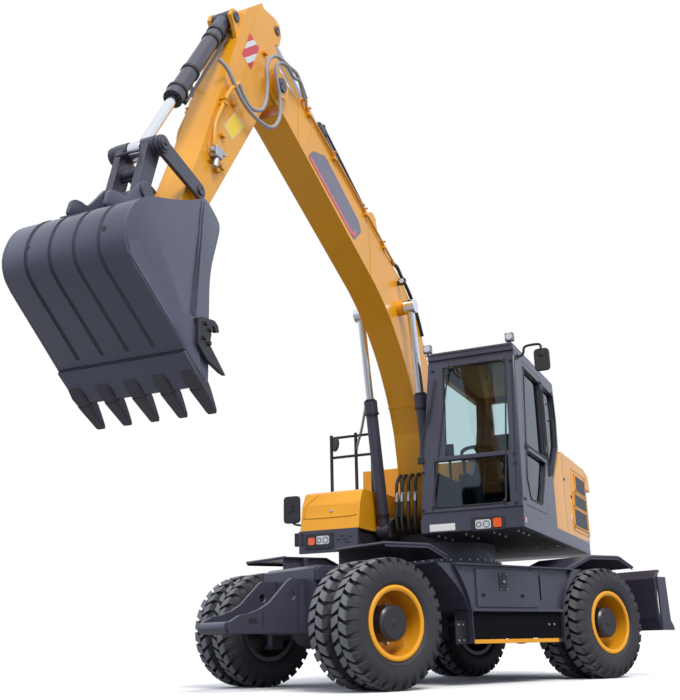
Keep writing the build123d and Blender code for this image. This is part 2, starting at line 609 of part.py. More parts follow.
def cab_cut_right(mode):
    """Removes what lies beyond the leaning boom-side face of the cab."""
    with BuildSketch(Plane(origin=(2000, 0, 0), x_dir=(0, 1, 0), z_dir=(1, 0, 0))) as wedge:
        with BuildLine():
            Polyline((CAB_RIGHT_Y, DECK_Z - 10), (CAB_RIGHT_TOP_Y, CAB_TOP_Z + 60), (-400, CAB_TOP_Z + 60),
                     (-400, DECK_Z - 10), close=True)
        make_face()
    extrude(wedge.sketch, amount=-3500, mode=mode)


with BuildPart() as cab_floor:
    block((CAB_REAR_X + 5, CAB_RIGHT_Y, DECK_Z), (CAB_FRONT_X - 15, HOUSE_HALF_W, DECK_Z + CAB_FLOOR_T))
    cab_cut_right(Mode.SUBTRACT)
save(cab_floor, "cab_floor", SLEW)

with BuildPart() as cab_roof:
    block((CAB_BULGE_X + 45, CAB_RIGHT_Y, CAB_TOP_Z - WALL), (CAB_FRONT_X - CAB_LEAN + 20, HOUSE_HALF_W, CAB_TOP_Z))
    cab_cut_right(Mode.SUBTRACT)
save(cab_roof, "cab_roof", SLEW)


def lean_x(z):
    """Front face of the cab at a height."""
    return CAB_FRONT_X - CAB_LEAN * (z - DECK_Z) / (CAB_TOP_Z - WALL - DECK_Z)


WINDOW_LOW_Z = 1530.0
WINDOW_TOP_Z = 2870.0
BAR_Z = 1960.0
BAR_H = 40.0
GLASS_T = 8.0


def front_slab(z_low, z_high, depth, y_low, y_high, mode=Mode.ADD, ahead=0.0):
    """Slab along the leaning front face, from the face inwards by a depth."""
    outline = [(lean_x(z_low) + ahead, z_low), (lean_x(z_high) + ahead, z_high),
               (lean_x(z_high) + ahead - depth, z_high), (lean_x(z_low) + ahead - depth, z_low)]
    plate(outline, y_low, y_high, mode=mode)


FLOOR_TOP = DECK_Z + CAB_FLOOR_T
ROOF_LOW = CAB_TOP_Z - WALL
with BuildPart() as front_wall:
    front_slab(FLOOR_TOP, ROOF_LOW, WALL, CAB_RIGHT_Y, HOUSE_HALF_W)
    front_slab(BAR_Z + BAR_H, WINDOW_TOP_Z, WALL + 20, 440, HOUSE_HALF_W - 90, mode=Mode.SUBTRACT, ahead=10)
    front_slab(WINDOW_LOW_Z, BAR_Z, WALL + 20, 330, HOUSE_HALF_W - 110, mode=Mode.SUBTRACT, ahead=10)
    cab_cut_right(Mode.SUBTRACT)

with BuildPart() as left_wall:
    plate(cab_side, HOUSE_HALF_W - WALL, HOUSE_HALF_W)
    front_slab(DECK_Z - 10, ROOF_LOW + 10, WALL + 20.5, 0, 2000, mode=Mode.SUBTRACT, ahead=20)
    with BuildSketch(side_sketch_plane(HOUSE_HALF_W + 5)) as doorway:
        with BuildLine():
            Polyline(*door_outer, close=True)
        make_face()
        offset(amount=DOOR_GAP, kind=Kind.INTERSECTION)
    extrude(doorway.sketch, amount=WALL + 10, mode=Mode.SUBTRACT)
    plate(rear_side_hole, HOUSE_HALF_W - WALL - 5, HOUSE_HALF_W + 5, mode=Mode.SUBTRACT)
    block((CAB_REAR_X, 0, DECK_Z - 10), (CAB_FRONT_X, HOUSE_HALF_W + 5, FLOOR_TOP), mode=Mode.SUBTRACT)

with BuildPart() as right_wall:
    plate([(x, z) for x, z in cab_side], CAB_RIGHT_Y, CAB_RIGHT_TOP_Y + WALL)
    front_slab(DECK_Z - 10, ROOF_LOW + 10, WALL + 20.5, 0, 2000, mode=Mode.SUBTRACT, ahead=20)
    cab_cut_right(Mode.SUBTRACT)
    with BuildSketch(Plane(origin=(2000, 0, 0), x_dir=(0, 1, 0), z_dir=(1, 0, 0))) as inside:
        with BuildLine():
            Polyline((CAB_RIGHT_Y + WALL, DECK_Z - 10), (CAB_RIGHT_TOP_Y + WALL, CAB_TOP_Z + 60), (900, CAB_TOP_Z + 60),
                     (900, DECK_Z - 10), close=True)
        make_face()
    extrude(inside.sketch, amount=-3500, mode=Mode.SUBTRACT)
    plate([(1010, 1900), (960, 2860), (-440, 2860), (-470, 2620), (-430, 2330), (0, 1900)], 0, 700, mode=Mode.SUBTRACT)
    block((CAB_REAR_X, 0, DECK_Z - 10), (CAB_FRONT_X, 900, FLOOR_TOP), mode=Mode.SUBTRACT)

cab_rear_line = [(CAB_BULGE_X + 40, ROOF_LOW), (CAB_BULGE_X, 2620), (CAB_BULGE_X + 40, 2290), (CAB_REAR_X + 5, 1900),
                 (CAB_REAR_X + 5, FLOOR_TOP)]
with BuildPart() as rear_wall:
    plate(cab_rear_line + [(x + WALL, z) for x, z in reversed(cab_rear_line)], CAB_RIGHT_Y, HOUSE_HALF_W - WALL - 0.5)
    with BuildSketch(Plane(origin=(2000, 0, 0), x_dir=(0, 1, 0), z_dir=(1, 0, 0))) as beyond:
        with BuildLine():
            Polyline((CAB_RIGHT_Y + WALL + 1, DECK_Z - 10), (CAB_RIGHT_TOP_Y + WALL + 1, CAB_TOP_Z + 60), (-400, CAB_TOP_Z + 60),
                     (-400, DECK_Z - 10), close=True)
        make_face()
    extrude(beyond.sketch, amount=-3500, mode=Mode.SUBTRACT)
    block((-700, 460, 2340), (-300, 1000, 2870), mode=Mode.SUBTRACT)
with BuildPart() as cab_walls:
    for wall in (front_wall, left_wall, right_wall, rear_wall):
        add(wall.part)
save(cab_walls, "cab_walls", SLEW)

with BuildPart() as cab_glass:
    front_slab(BAR_Z + BAR_H, WINDOW_TOP_Z, GLASS_T, 440, HOUSE_HALF_W - 90, ahead=-20)
    front_slab(WINDOW_LOW_Z, BAR_Z, GLASS_T, 330, HOUSE_HALF_W - 110, ahead=-20)
    plate(rear_side_hole, HOUSE_HALF_W - 34, HOUSE_HALF_W - 26)
save(cab_glass, "cab_glass", SLEW)

# Cab interior
with BuildPart() as cab_seat:
    block((120, 475, FLOOR_TOP + 220), (620, 885, FLOOR_TOP + 340))
    plate([(60, FLOOR_TOP + 300), (170, FLOOR_TOP + 300), (60, 2420), (-60, 2420)], 475, 885)
    block((200, 540, FLOOR_TOP), (520, 800, FLOOR_TOP + 220))
save(cab_seat, "cab_seat", SLEW)

with BuildPart() as cab_controls:
    rod((980, 670, FLOOR_TOP + 10.4), (850, 670, 2052), 45)
    for y in (380, 890):
        block((150, y, FLOOR_TOP), (620, y + 90, FLOOR_TOP + 420))
    with BuildSketch(Plane(origin=(850, 670, 2050), z_dir=(-120, 0, 529))) as wheel:
        Circle(185)
        Circle(160, mode=Mode.SUBTRACT)
        Rectangle(330, 30)
    extrude(wheel.sketch, amount=25)
save(cab_controls, "cab_controls", SLEW)

# Door
with BuildPart() as cab_door:
    plate(door_outer, HOUSE_HALF_W - WALL, HOUSE_HALF_W)
    plate(door_top_hole, HOUSE_HALF_W - WALL - 5, HOUSE_HALF_W + 5, mode=Mode.SUBTRACT)
    plate(door_low_hole, HOUSE_HALF_W - WALL - 5, HOUSE_HALF_W + 5, mode=Mode.SUBTRACT)
    for z in (2150, 2800):
        rod((HINGE_X, HINGE_Y, z), (HINGE_X, HINGE_Y, z + 60), 9)
        block((HINGE_X, HOUSE_HALF_W, z), (150, HINGE_Y, z + 60))
save(cab_door, "cab_door", SLEW)
with BuildPart() as door_glass:
    plate(door_top_hole, HOUSE_HALF_W - 34, HOUSE_HALF_W - 26)
    plate(door_low_hole, HOUSE_HALF_W - 34, HOUSE_HALF_W - 26)
save(door_glass, "door_glass", SLEW)

# Handrails, mirrors and lamps
RAIL_R = 17.0
RAIL_X = 600.0
RAIL_OUT_Y = 140.0 - HOUSE_HALF_W
RAIL_MID_Z = 2231.0
RAIL_TOP_Z = 2470.0
with BuildPart() as handrails:
    for y in (RAIL_OUT_Y, -720, -540):
        rod((RAIL_X, y, RIGHT_TOP_Z), (RAIL_X, y, RAIL_TOP_Z), RAIL_R)
    for z in (RAIL_MID_Z, RAIL_TOP_Z - 30):
        rod((RAIL_X, RAIL_OUT_Y, z), (RAIL_X, -540, z), RAIL_R - 3)
save(handrails, "handrails", SLEW)

with BuildPart() as mirrors:
    block((980, -HOUSE_HALF_W - 215, 1530), (1010, -HOUSE_HALF_W - 35, 1800))
    rod((995, -HOUSE_HALF_W - 40, 1560), (995, -HOUSE_HALF_W - 12, 1502), 12)
    block((980, -HOUSE_HALF_W - 14, 1490), (1010, -HOUSE_HALF_W, 1515))
    block((985, HOUSE_HALF_W + 145, 2745), (1015, HOUSE_HALF_W + 310, 2985))
    rod((1000, HOUSE_HALF_W + 155, 2960), (1000, HOUSE_HALF_W + 6, 2975), 12)
    block((985, HOUSE_HALF_W, 2958), (1015, HOUSE_HALF_W + 10, 2990))
save(mirrors, "mirrors", SLEW)

with BuildPart() as lamps:
    for y in (300, HOUSE_HALF_W - 28):
        block((1110, y - 45, 3030), (1170, y + 45, 3120))
        rod((1120, y, CAB_TOP_Z), (1120, y, 3035), 15)
    block((CAB_FRONT_X, HOUSE_HALF_W - 484, 1315), (CAB_FRONT_X + 12, HOUSE_HALF_W - 184, 1412))
    block((RIGHT_FRONT_X, 50 - HOUSE_HALF_W, 1245), (RIGHT_FRONT_X + 12, 370 - HOUSE_HALF_W, 1400))
save(lamps, "lamps", SLEW)

# Boom
with BuildPart() as boom:
    with BuildSketch(side_sketch_plane(BOOM_Y + BOOM_HALF_W)) as boom_side:
        with BuildLine():
            Line((95, 1690), (80, 2500))
            ThreePointArc((80, 2500), (290, 3330), (970, 3930))
            Line((970, 3930), (2000, 4330))
            Line((2000, 4330), (3150, 4730))
            Line((3150, 4730), (3560, 4800))
            ThreePointArc((3560, 4800), (3755, 4665), (3650, 4515))
            Line((3650, 4515), (3380, 4405))
            Line((3380, 4405), (1650, 3630))
            ThreePointArc((1650, 3630), (895, 3000), (565, 2400))
            Line((565, 2400), (415, 1690))
            ThreePointArc((415, 1690), (250, 1560), (95, 1690))
        make_face()
    extrude(boom_side.sketch, amount=2 * BOOM_HALF_W)
    cross_bar(BOOM_FOOT, 100, BOOM_Y - FOOT_PLATE_GAP + 3, BOOM_Y + FOOT_PLATE_GAP - 3)
    cross_bar(BOOM_FOOT, 45 + FIT, BOOM_Y - 200, BOOM_Y + 200, mode=Mode.SUBTRACT)
    for side in (1, -1):
        low, high = sorted((BOOM_Y + side * BOOM_HALF_W, BOOM_Y + side * 205))
        cross_bar(LIFT_EYE, 75, low, high)
        low, high = sorted((BOOM_Y + side * BOOM_HALF_W, BOOM_Y + side * 190))
        cross_bar(ARM_PIVOT, 110, low, high)
        low, high = sorted((BOOM_Y + side * 74, BOOM_Y + side * 104))
        plate([(1400, 4080), (1480, 4400), (1550, 4440), (1620, 4420), (1850, 4240)], low, high)
    low, high = BOOM_Y - ARM_HALF_W - ARM_FIT, BOOM_Y + ARM_HALF_W + ARM_FIT
    cross_bar(ARM_PIVOT, 215, low, high, mode=Mode.SUBTRACT)
    plate([(ARM_PIVOT[0] - 360, ARM_PIVOT[1] - 45), (ARM_PIVOT[0], ARM_PIVOT[1]), (ARM_PIVOT[0], ARM_PIVOT[1] + 200),
           (ARM_PIVOT[0] - 360, ARM_PIVOT[1] + 200)], low, high, mode=Mode.SUBTRACT)
    cross_bar(ARM_PIVOT, 55, BOOM_Y - BOOM_HALF_W, BOOM_Y + BOOM_HALF_W)
    cross_bar(CROWD_FOOT, 35, BOOM_Y - 74, BOOM_Y + 74)
save(boom, "boom", SLEW)

# Boom cylinders
with BuildPart() as boom_barrels:
    for side in (1, -1):
        y = BOOM_Y + side * LIFT_SPREAD
        barrel_solid(LIFT_FOOT, LIFT_EYE, y, 60, 1300, 38, 72, 62, 68, 130)
        cross_bar(LIFT_FOOT, 40 + FIT, y - 63, y + 63, mode=Mode.SUBTRACT)
save(boom_barrels, "boom_barrels", SLEW)
with BuildPart() as boom_rods:
    for side in (1, -1):
        rod_solid(LIFT_FOOT, LIFT_EYE, BOOM_Y + side * LIFT_SPREAD, 38, 1440, 70, 58)
save(boom_rods, "boom_rods", SLEW)

# Arm
arm_outline = [
    (3817, 5322), (4060, 5100), (4222, 4638), (4650, 3559), (4950, 2870), (4900, 2765), (4815, 2758), (4770, 2810),
    (4512, 3226), (4329, 3509), (3745, 4419), (3690, 4510), (3610, 4495), (3480, 4570), (3450, 4700), (3547, 5002),
    (3700, 5195),
]
with BuildPart() as arm:
    plate(arm_outline, BOOM_Y - ARM_HALF_W, BOOM_Y + ARM_HALF_W)
    for side in (1, -1):
        low, high = sorted((BOOM_Y + side * 62, BOOM_Y + side * 92))
        plate([(3600, 5080), (3470, 5150), (3440, 5260), (3465, 5345), (3545, 5365), (3817, 5322), (3700, 5100)], low, high)
        low, high = sorted((BOOM_Y + side * 76, BOOM_Y + side * 106))
        plate([(3900, 5150), (4130, 5020), (4240, 4985), (4265, 4920), (4220, 4850), (4180, 4760), (4100, 4700)], low, high)
        low, high = sorted((BOOM_Y + side * ARM_HALF_W, BOOM_Y + side * 150))
        cross_bar(IDLER_PIN, 55, low, high)
        low, high = sorted((BOOM_Y + side * ARM_HALF_W, BOOM_Y + side * 184))
        cross_bar(IDLER_PIN, 32, low, high)
        low, high = sorted((BOOM_Y + side * ARM_HALF_W, BOOM_Y + side * 153))
        cross_bar(BUCKET_PIN, 35, low, high)
    cross_bar(CURL_FOOT, 35, BOOM_Y - 76, BOOM_Y + 76)
    cross_bar(ARM_PIVOT, 55 + FIT, BOOM_Y - 200, BOOM_Y + 200, mode=Mode.SUBTRACT)
save(arm, "arm", SLEW)

with BuildPart() as arm_barrel:
    barrel_solid(CROWD_FOOT, CROWD_EYE, BOOM_Y, 64, 1190, 40, 68, 68, 72, 110)
    cross_bar(CROWD_FOOT, 35 + FIT, BOOM_Y - 80, BOOM_Y + 80, mode=Mode.SUBTRACT)
save(arm_barrel, "arm_barrel", SLEW)
with BuildPart() as arm_rod:
    rod_solid(CROWD_FOOT, CROWD_EYE, BOOM_Y, 40, 1405, 60, 55)
save(arm_rod, "arm_rod", SLEW)
with BuildPart() as bucket_barrel:
    barrel_solid(CURL_FOOT, LINK_TOP, BOOM_Y, 60, 1215, 35, 62, 70, 68, 100)
    cross_bar(CURL_FOOT, 35 + FIT, BOOM_Y - 80, BOOM_Y + 80, mode=Mode.SUBTRACT)
save(bucket_barrel, "bucket_barrel", SLEW)
with BuildPart() as bucket_rod:
    rod_solid(CURL_FOOT, LINK_TOP, BOOM_Y, 35, 1315, 60, 45)
save(bucket_rod, "bucket_rod", SLEW)

# Bucket linkage
LINK_PIN_R = 32.0
with BuildPart() as idler_links:
    for side in (1, -1):
        low, high = sorted((BOOM_Y + side * 155, BOOM_Y + side * 182))
        link_outline(IDLER_PIN, 55, LINK_TOP, 62, low, high)
        cross_bar(IDLER_PIN, LINK_PIN_R + FIT, low, high, mode=Mode.SUBTRACT)
        low, high = sorted((BOOM_Y + side * 55, BOOM_Y + side * 195))
        cross_bar(LINK_TOP, LINK_PIN_R, low, high)
save(idler_links, "idler_links", SLEW)

web_high = along(LINK_TOP, LINK_LOW, 165)
web_low = along(LINK_TOP, LINK_LOW, 215)
with BuildPart() as tipping_link:
    for side in (1, -1):
        low, high = sorted((BOOM_Y + side * 52, BOOM_Y + side * 150))
        cross_bar(LINK_TOP, 66, low, high)
        low, high = sorted((BOOM_Y + side * 72, BOOM_Y + side * 120))
        link_outline(LINK_TOP, 64, LINK_LOW, 58, low, high)
        low, high = sorted((BOOM_Y + side * 50, BOOM_Y + side * 152))
        cross_bar(LINK_TOP, LINK_PIN_R + FIT, low, high, mode=Mode.SUBTRACT)
    rod(at_y(along(LINK_TOP, LINK_LOW, 190), BOOM_Y - 75), at_y(along(LINK_TOP, LINK_LOW, 190), BOOM_Y + 75), 35)
save(tipping_link, "tipping_link", SLEW)

# Bucket: shell, side plates, ears and teeth
LIP = (5030.0, 1780.0)
bucket_outer = [
    LIP, (5640, 2250), (5745, 2345), (5782, 2440), (5765, 2540), (5700, 2645), (5560, 2730), (5382, 2790),
    (5233, 2850), (5077, 2935), (5010, 2905), (4915, 2850), (4900, 2805), (4975, 2550), (4998, 2370), (4990, 1850),
]
bucket_inner = [
    (5020, 1805), (5625, 2275), (5720, 2360), (5755, 2440), (5740, 2530), (5680, 2625), (5550, 2705), (5375, 2765),
    (5225, 2825), (5070, 2905), (4700, 2700), (4700, 1805),
]
tooth_offsets = [-400, -200, 0, 200, 400]
TOOTH_RUN = [(55, 90), (-45, 20), (-170, -135), (-155, -148), (-20, -45), (80, 35)]
with BuildPart() as bucket:
    plate(bucket_outer, BOOM_Y - BUCKET_HALF_W, BOOM_Y + BUCKET_HALF_W)
    plate(bucket_inner, BOOM_Y - BUCKET_HALF_W + 20, BOOM_Y + BUCKET_HALF_W - 20, mode=Mode.SUBTRACT)
    cross_bar(BUCKET_PIN, 265, BOOM_Y - 126, BOOM_Y + 126, mode=Mode.SUBTRACT)
    for side in (1, -1):
        low, high = sorted((BOOM_Y + side * 126, BOOM_Y + side * 150))
        plate([(5050, 2860), (5250, 2800), (5590, 2700), (5590, 2790), (5530, 2840), (5350, 2945)], low, high)
        link_outline(BUCKET_PIN, 90, LINK_LOW, 72, low, high)
        cross_bar(BUCKET_PIN, 35 + FIT, low, high, mode=Mode.SUBTRACT)
    for y in tooth_offsets:
        tooth = [(LIP[0] + x, LIP[1] + z) for x, z in TOOTH_RUN]
        plate(tooth, BOOM_Y + y - 32, BOOM_Y + y + 32)
save(bucket, "bucket", SLEW)
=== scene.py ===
import math
import random

import bmesh
import bpy
from mathutils import Matrix, Quaternion, Vector


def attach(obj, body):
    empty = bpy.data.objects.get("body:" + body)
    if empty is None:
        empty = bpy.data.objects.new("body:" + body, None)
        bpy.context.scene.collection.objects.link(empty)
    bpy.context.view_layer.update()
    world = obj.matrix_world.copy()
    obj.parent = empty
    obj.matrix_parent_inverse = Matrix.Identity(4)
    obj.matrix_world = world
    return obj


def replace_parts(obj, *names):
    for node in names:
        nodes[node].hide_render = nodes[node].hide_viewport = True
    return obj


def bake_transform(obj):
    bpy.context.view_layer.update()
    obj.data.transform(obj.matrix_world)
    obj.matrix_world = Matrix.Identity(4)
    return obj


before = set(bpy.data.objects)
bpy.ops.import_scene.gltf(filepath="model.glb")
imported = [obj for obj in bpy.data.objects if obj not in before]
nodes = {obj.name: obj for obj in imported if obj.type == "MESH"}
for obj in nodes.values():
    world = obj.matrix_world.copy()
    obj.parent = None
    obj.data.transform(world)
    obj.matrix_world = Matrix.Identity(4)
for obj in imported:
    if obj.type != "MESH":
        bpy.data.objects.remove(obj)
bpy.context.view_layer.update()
random.seed(4)

# Places are in millimetres, in the frame of the undercarriage (ROW) or of the upper structure (HOUSE).
SLEW = math.radians(26.87)
ROW = Matrix.Scale(0.001, 4)
HOUSE = Matrix.Rotation(SLEW, 4, "Z") @ ROW
BOOM_Y = -160.0
AXLES = {"front": 1750.0, "rear": -1050.0}
AXLE_Z = 520.0


# Materials

def new_material(name):
    mat = bpy.data.materials.new(name)
    mat.use_nodes = True
    return mat, mat.node_tree.nodes, mat.node_tree.links


def surface(name, colour, rough=0.4, metal=0.0, coat=0.0, grime=0.12, bump=0.0, bump_scale=60.0, specular=0.5, edge_r=0.006):
    """Paint or rubber: base colour with a slow noise of light and dark, and a fine bump."""
    mat, nod, link = new_material(name)
    bsdf = nod["Principled BSDF"]
    bsdf.inputs["Roughness"].default_value = rough
    bsdf.inputs["Metallic"].default_value = metal
    bsdf.inputs["Coat Weight"].default_value = coat
    bsdf.inputs["Coat Roughness"].default_value = 0.12
    bsdf.inputs["Specular IOR Level"].default_value = specular
    coords = nod.new("ShaderNodeTexCoord")
    noise = nod.new("ShaderNodeTexNoise")
    noise.inputs["Scale"].default_value = 2.2
    noise.inputs["Detail"].default_value = 5.0
    link.new(coords.outputs["Object"], noise.inputs["Vector"])
    ramp = nod.new("ShaderNodeValToRGB")
    ramp.color_ramp.elements[0].position = 0.3
    ramp.color_ramp.elements[1].position = 0.7
    ramp.color_ramp.elements[0].color = tuple(c * (1 - grime) for c in colour) + (1,)
    ramp.color_ramp.elements[1].color = tuple(colour) + (1,)
    link.new(noise.outputs["Fac"], ramp.inputs["Fac"])
    link.new(ramp.outputs["Color"], bsdf.inputs["Base Color"])
    edge = nod.new("ShaderNodeBevel")
    edge.samples = 4
    edge.inputs["Radius"].default_value = edge_r
    link.new(edge.outputs["Normal"], bsdf.inputs["Normal"])
    if bump:
        fine = nod.new("ShaderNodeTexNoise")
        fine.inputs["Scale"].default_value = bump_scale
        fine.inputs["Detail"].default_value = 3.0
        link.new(coords.outputs["Object"], fine.inputs["Vector"])
        node = nod.new("ShaderNodeBump")
        node.inputs["Strength"].default_value = bump
        node.inputs["Distance"].default_value = 0.004
        link.new(fine.outputs["Fac"], node.inputs["Height"])
        link.new(edge.outputs["Normal"], node.inputs["Normal"])
        link.new(node.outputs["Normal"], bsdf.inputs["Normal"])
    return mat


def glass_material(name, colour, gloss):
    mat, nod, link = new_material(name)
    out = nod["Material Output"]
    clear = nod.new("ShaderNodeBsdfTransparent")
    clear.inputs["Color"].default_value = tuple(colour) + (1,)
    shine = nod.new("ShaderNodeBsdfGlossy")
    shine.inputs["Roughness"].default_value = 0.02
    facing = nod.new("ShaderNodeFresnel")
    facing.inputs["IOR"].default_value = gloss
    mix = nod.new("ShaderNodeMixShader")
    link.new(facing.outputs["Fac"], mix.inputs["Fac"])
    link.new(clear.outputs["BSDF"], mix.inputs[1])
    link.new(shine.outputs["BSDF"], mix.inputs[2])
    link.new(mix.outputs["Shader"], out.inputs["Surface"])
    return mat


def lens(name, colour, glow=0.15):
    mat = surface(name, colour, rough=0.15, coat=0.6, grime=0.0)
    bsdf = mat.node_tree.nodes["Principled BSDF"]
    bsdf.inputs["Emission Color"].default_value = tuple(colour) + (1,)
    bsdf.inputs["Emission Strength"].default_value = glow
    return mat


YELLOW = surface("yellow", (0.80, 0.345, 0.008), rough=0.36, coat=0.2, grime=0.08, bump=0.02, bump_scale=240, specular=0.4, edge_r=0.008)
DARK = surface("dark", (0.048, 0.046, 0.072), rough=0.42, coat=0.25, grime=0.22, bump=0.05, bump_scale=180, edge_r=0.008)
# painted shade: a near-black sheet colour that stands in for the dark seen inside shadowed openings
PAINTED_SHADE = surface("painted_shade", (0.005, 0.005, 0.007), rough=0.8, grime=0.3, specular=0.1)
BUCKET_PAINT = surface("bucket_paint", (0.062, 0.064, 0.104), rough=0.42, coat=0.25, grime=0.15, bump=0.05, bump_scale=180, edge_r=0.006)
BLACK = surface("black", (0.020, 0.019, 0.023), rough=0.5, grime=0.2, bump=0.04, bump_scale=150)
CAST = surface("cast", (0.050, 0.047, 0.062), rough=0.55, grime=0.3, bump=0.25, bump_scale=120)
RUBBER = surface("rubber", (0.050, 0.050, 0.056), rough=0.72, grime=0.35, bump=0.12, bump_scale=90, specular=0.35)
CHROME = surface("chrome", (0.80, 0.81, 0.83), rough=0.16, metal=1.0, grime=0.05)
STEEL = surface("steel", (0.50, 0.50, 0.52), rough=0.34, metal=0.9, grime=0.15)
ENGINE = surface("engine", (0.09, 0.09, 0.095), rough=0.6, grime=0.2)
FABRIC = surface("fabric", (0.045, 0.045, 0.052), rough=0.9, grime=0.3, bump=0.3, bump_scale=600, specular=0.2)
BEIGE = surface("beige", (0.42, 0.41, 0.38), rough=0.75, grime=0.1)
GREY = surface("grey", (0.22, 0.22, 0.235), rough=0.5, grime=0.15)
HOSE = surface("hose", (0.030, 0.030, 0.033), rough=0.55, grime=0.2, bump=0.1, bump_scale=300)
SLEEVE = surface("sleeve", (0.36, 0.35, 0.36), rough=0.6, grime=0.2, bump=0.2, bump_scale=400)
GLASS = glass_material("glass", (0.66, 0.78, 0.80), 1.55)
MIRROR_GLASS = surface("mirror_glass", (0.75, 0.78, 0.80), rough=0.04, metal=1.0, grime=0.0)
WHITE = lens("white_lens", (0.52, 0.53, 0.55), 0.04)
ORANGE = lens("orange_lens", (0.75, 0.10, 0.012), 0.06)
RED = surface("red", (0.62, 0.03, 0.04), rough=0.4, grime=0.05)
PLATE = surface("plate", (0.72, 0.71, 0.68), rough=0.45, grime=0.08)
SIGN = surface("sign", (0.86, 0.60, 0.03), rough=0.4, grime=0.05)
BADGE = surface("badge", (0.11, 0.10, 0.145), rough=0.35, coat=0.3, grime=0.04)
PINK = surface("pink_red", (0.70, 0.075, 0.11), rough=0.35, coat=0.3, grime=0.04)


def rim_material():
    """Yellow rim with a dark hub by distance from the axle's line, and painted shade on every part deeper than the
    disc.
    """
    mat = surface("rim", (0.76, 0.325, 0.010), rough=0.34, coat=0.3, grime=0.06)
    nod, link = mat.node_tree.nodes, mat.node_tree.links
    bsdf = nod["Principled BSDF"]
    paint = bsdf.inputs["Base Color"].links[0].from_socket
    coords = nod["Texture Coordinate"]
    split = nod.new("ShaderNodeSeparateXYZ")
    link.new(coords.outputs["Object"], split.inputs["Vector"])

    def maths(kind, a, b):
        node = nod.new("ShaderNodeMath")
        node.operation = kind
        for i, v in enumerate((a, b)):
            if isinstance(v, (int, float)):
                node.inputs[i].default_value = v
            elif v is not None:
                link.new(v, node.inputs[i])
        return node.outputs[0]

    front = maths("ABSOLUTE", maths("SUBTRACT", split.outputs["X"], 1.75), None)
    rear = maths("ABSOLUTE", maths("SUBTRACT", split.outputs["X"], -1.05), None)
    across = maths("MINIMUM", front, rear)
    up = maths("SUBTRACT", split.outputs["Z"], 0.52)
    radius = maths("SQRT", maths("ADD", maths("MULTIPLY", across, across), maths("MULTIPLY", up, up)), None)
    hub = maths("LESS_THAN", radius, 0.148)
    # painted shade: every part nearer the machine's middle than the disc, the rim's inside and the inner rim, is drawn
    # near black
    inner = maths("LESS_THAN", maths("ABSOLUTE", split.outputs["Y"], None), 0.8715)
    dark = maths("MAXIMUM", hub, inner)
    mix = nod.new("ShaderNodeMix")
    mix.data_type = "RGBA"
    link.new(dark, mix.inputs["Factor"])
    link.new(paint, mix.inputs[6])
    # near black for the hub's own colour and for the painted shade behind the disc
    mix.inputs[7].default_value = (0.022, 0.021, 0.028, 1)
    link.new(mix.outputs[2], bsdf.inputs["Base Color"])
    return mat


RIM = rim_material()

LOOKS = {
    "yellow": YELLOW, "dark": DARK, "bucket_paint": BUCKET_PAINT, "black": BLACK, "cast": CAST, "rubber": RUBBER, "chrome": CHROME,
    "glass": GLASS, "engine": ENGINE, "fabric": FABRIC, "grey": GREY, "rim": RIM, "white": WHITE,
}
NODE_LOOKS = {
    "yellow": "boom arm hood right_box",
    "dark": "chassis_frame side_boxes fenders slew_ring skirts counterweight cab_floor cab_roof cab_walls cab_door "
            "blade blade_arms blade_links knuckle_left knuckle_right boom_barrels arm_barrel bucket_barrel blade_barrels "
            "idler_links tipping_link steps",
    "cast": "axles driveline",
    "bucket_paint": "bucket",
    "black": "upper_frame grilles mirrors cab_controls handrails exhaust",
    "chrome": "boom_rods arm_rod bucket_rod blade_rods steering_rod",
    "glass": "cab_glass door_glass",
    "engine": "engine_block",
    "fabric": "cab_seat",
    "white": "lamps",
    "rim": "rims_front_left rims_front_right rims_rear_left rims_rear_right",
    "rubber": "tyres_front_left tyres_front_right tyres_rear_left tyres_rear_right",
}
for look, names in NODE_LOOKS.items():
    for name in names.split():
        node = nodes[name]
        node.data.materials.clear()
        node.data.materials.append(LOOKS[look])
        for face in node.data.polygons:
            face.use_smooth = True
        edges = node.modifiers.new("edges", "EDGE_SPLIT")
        edges.split_angle = math.radians(28)


# Building small pieces

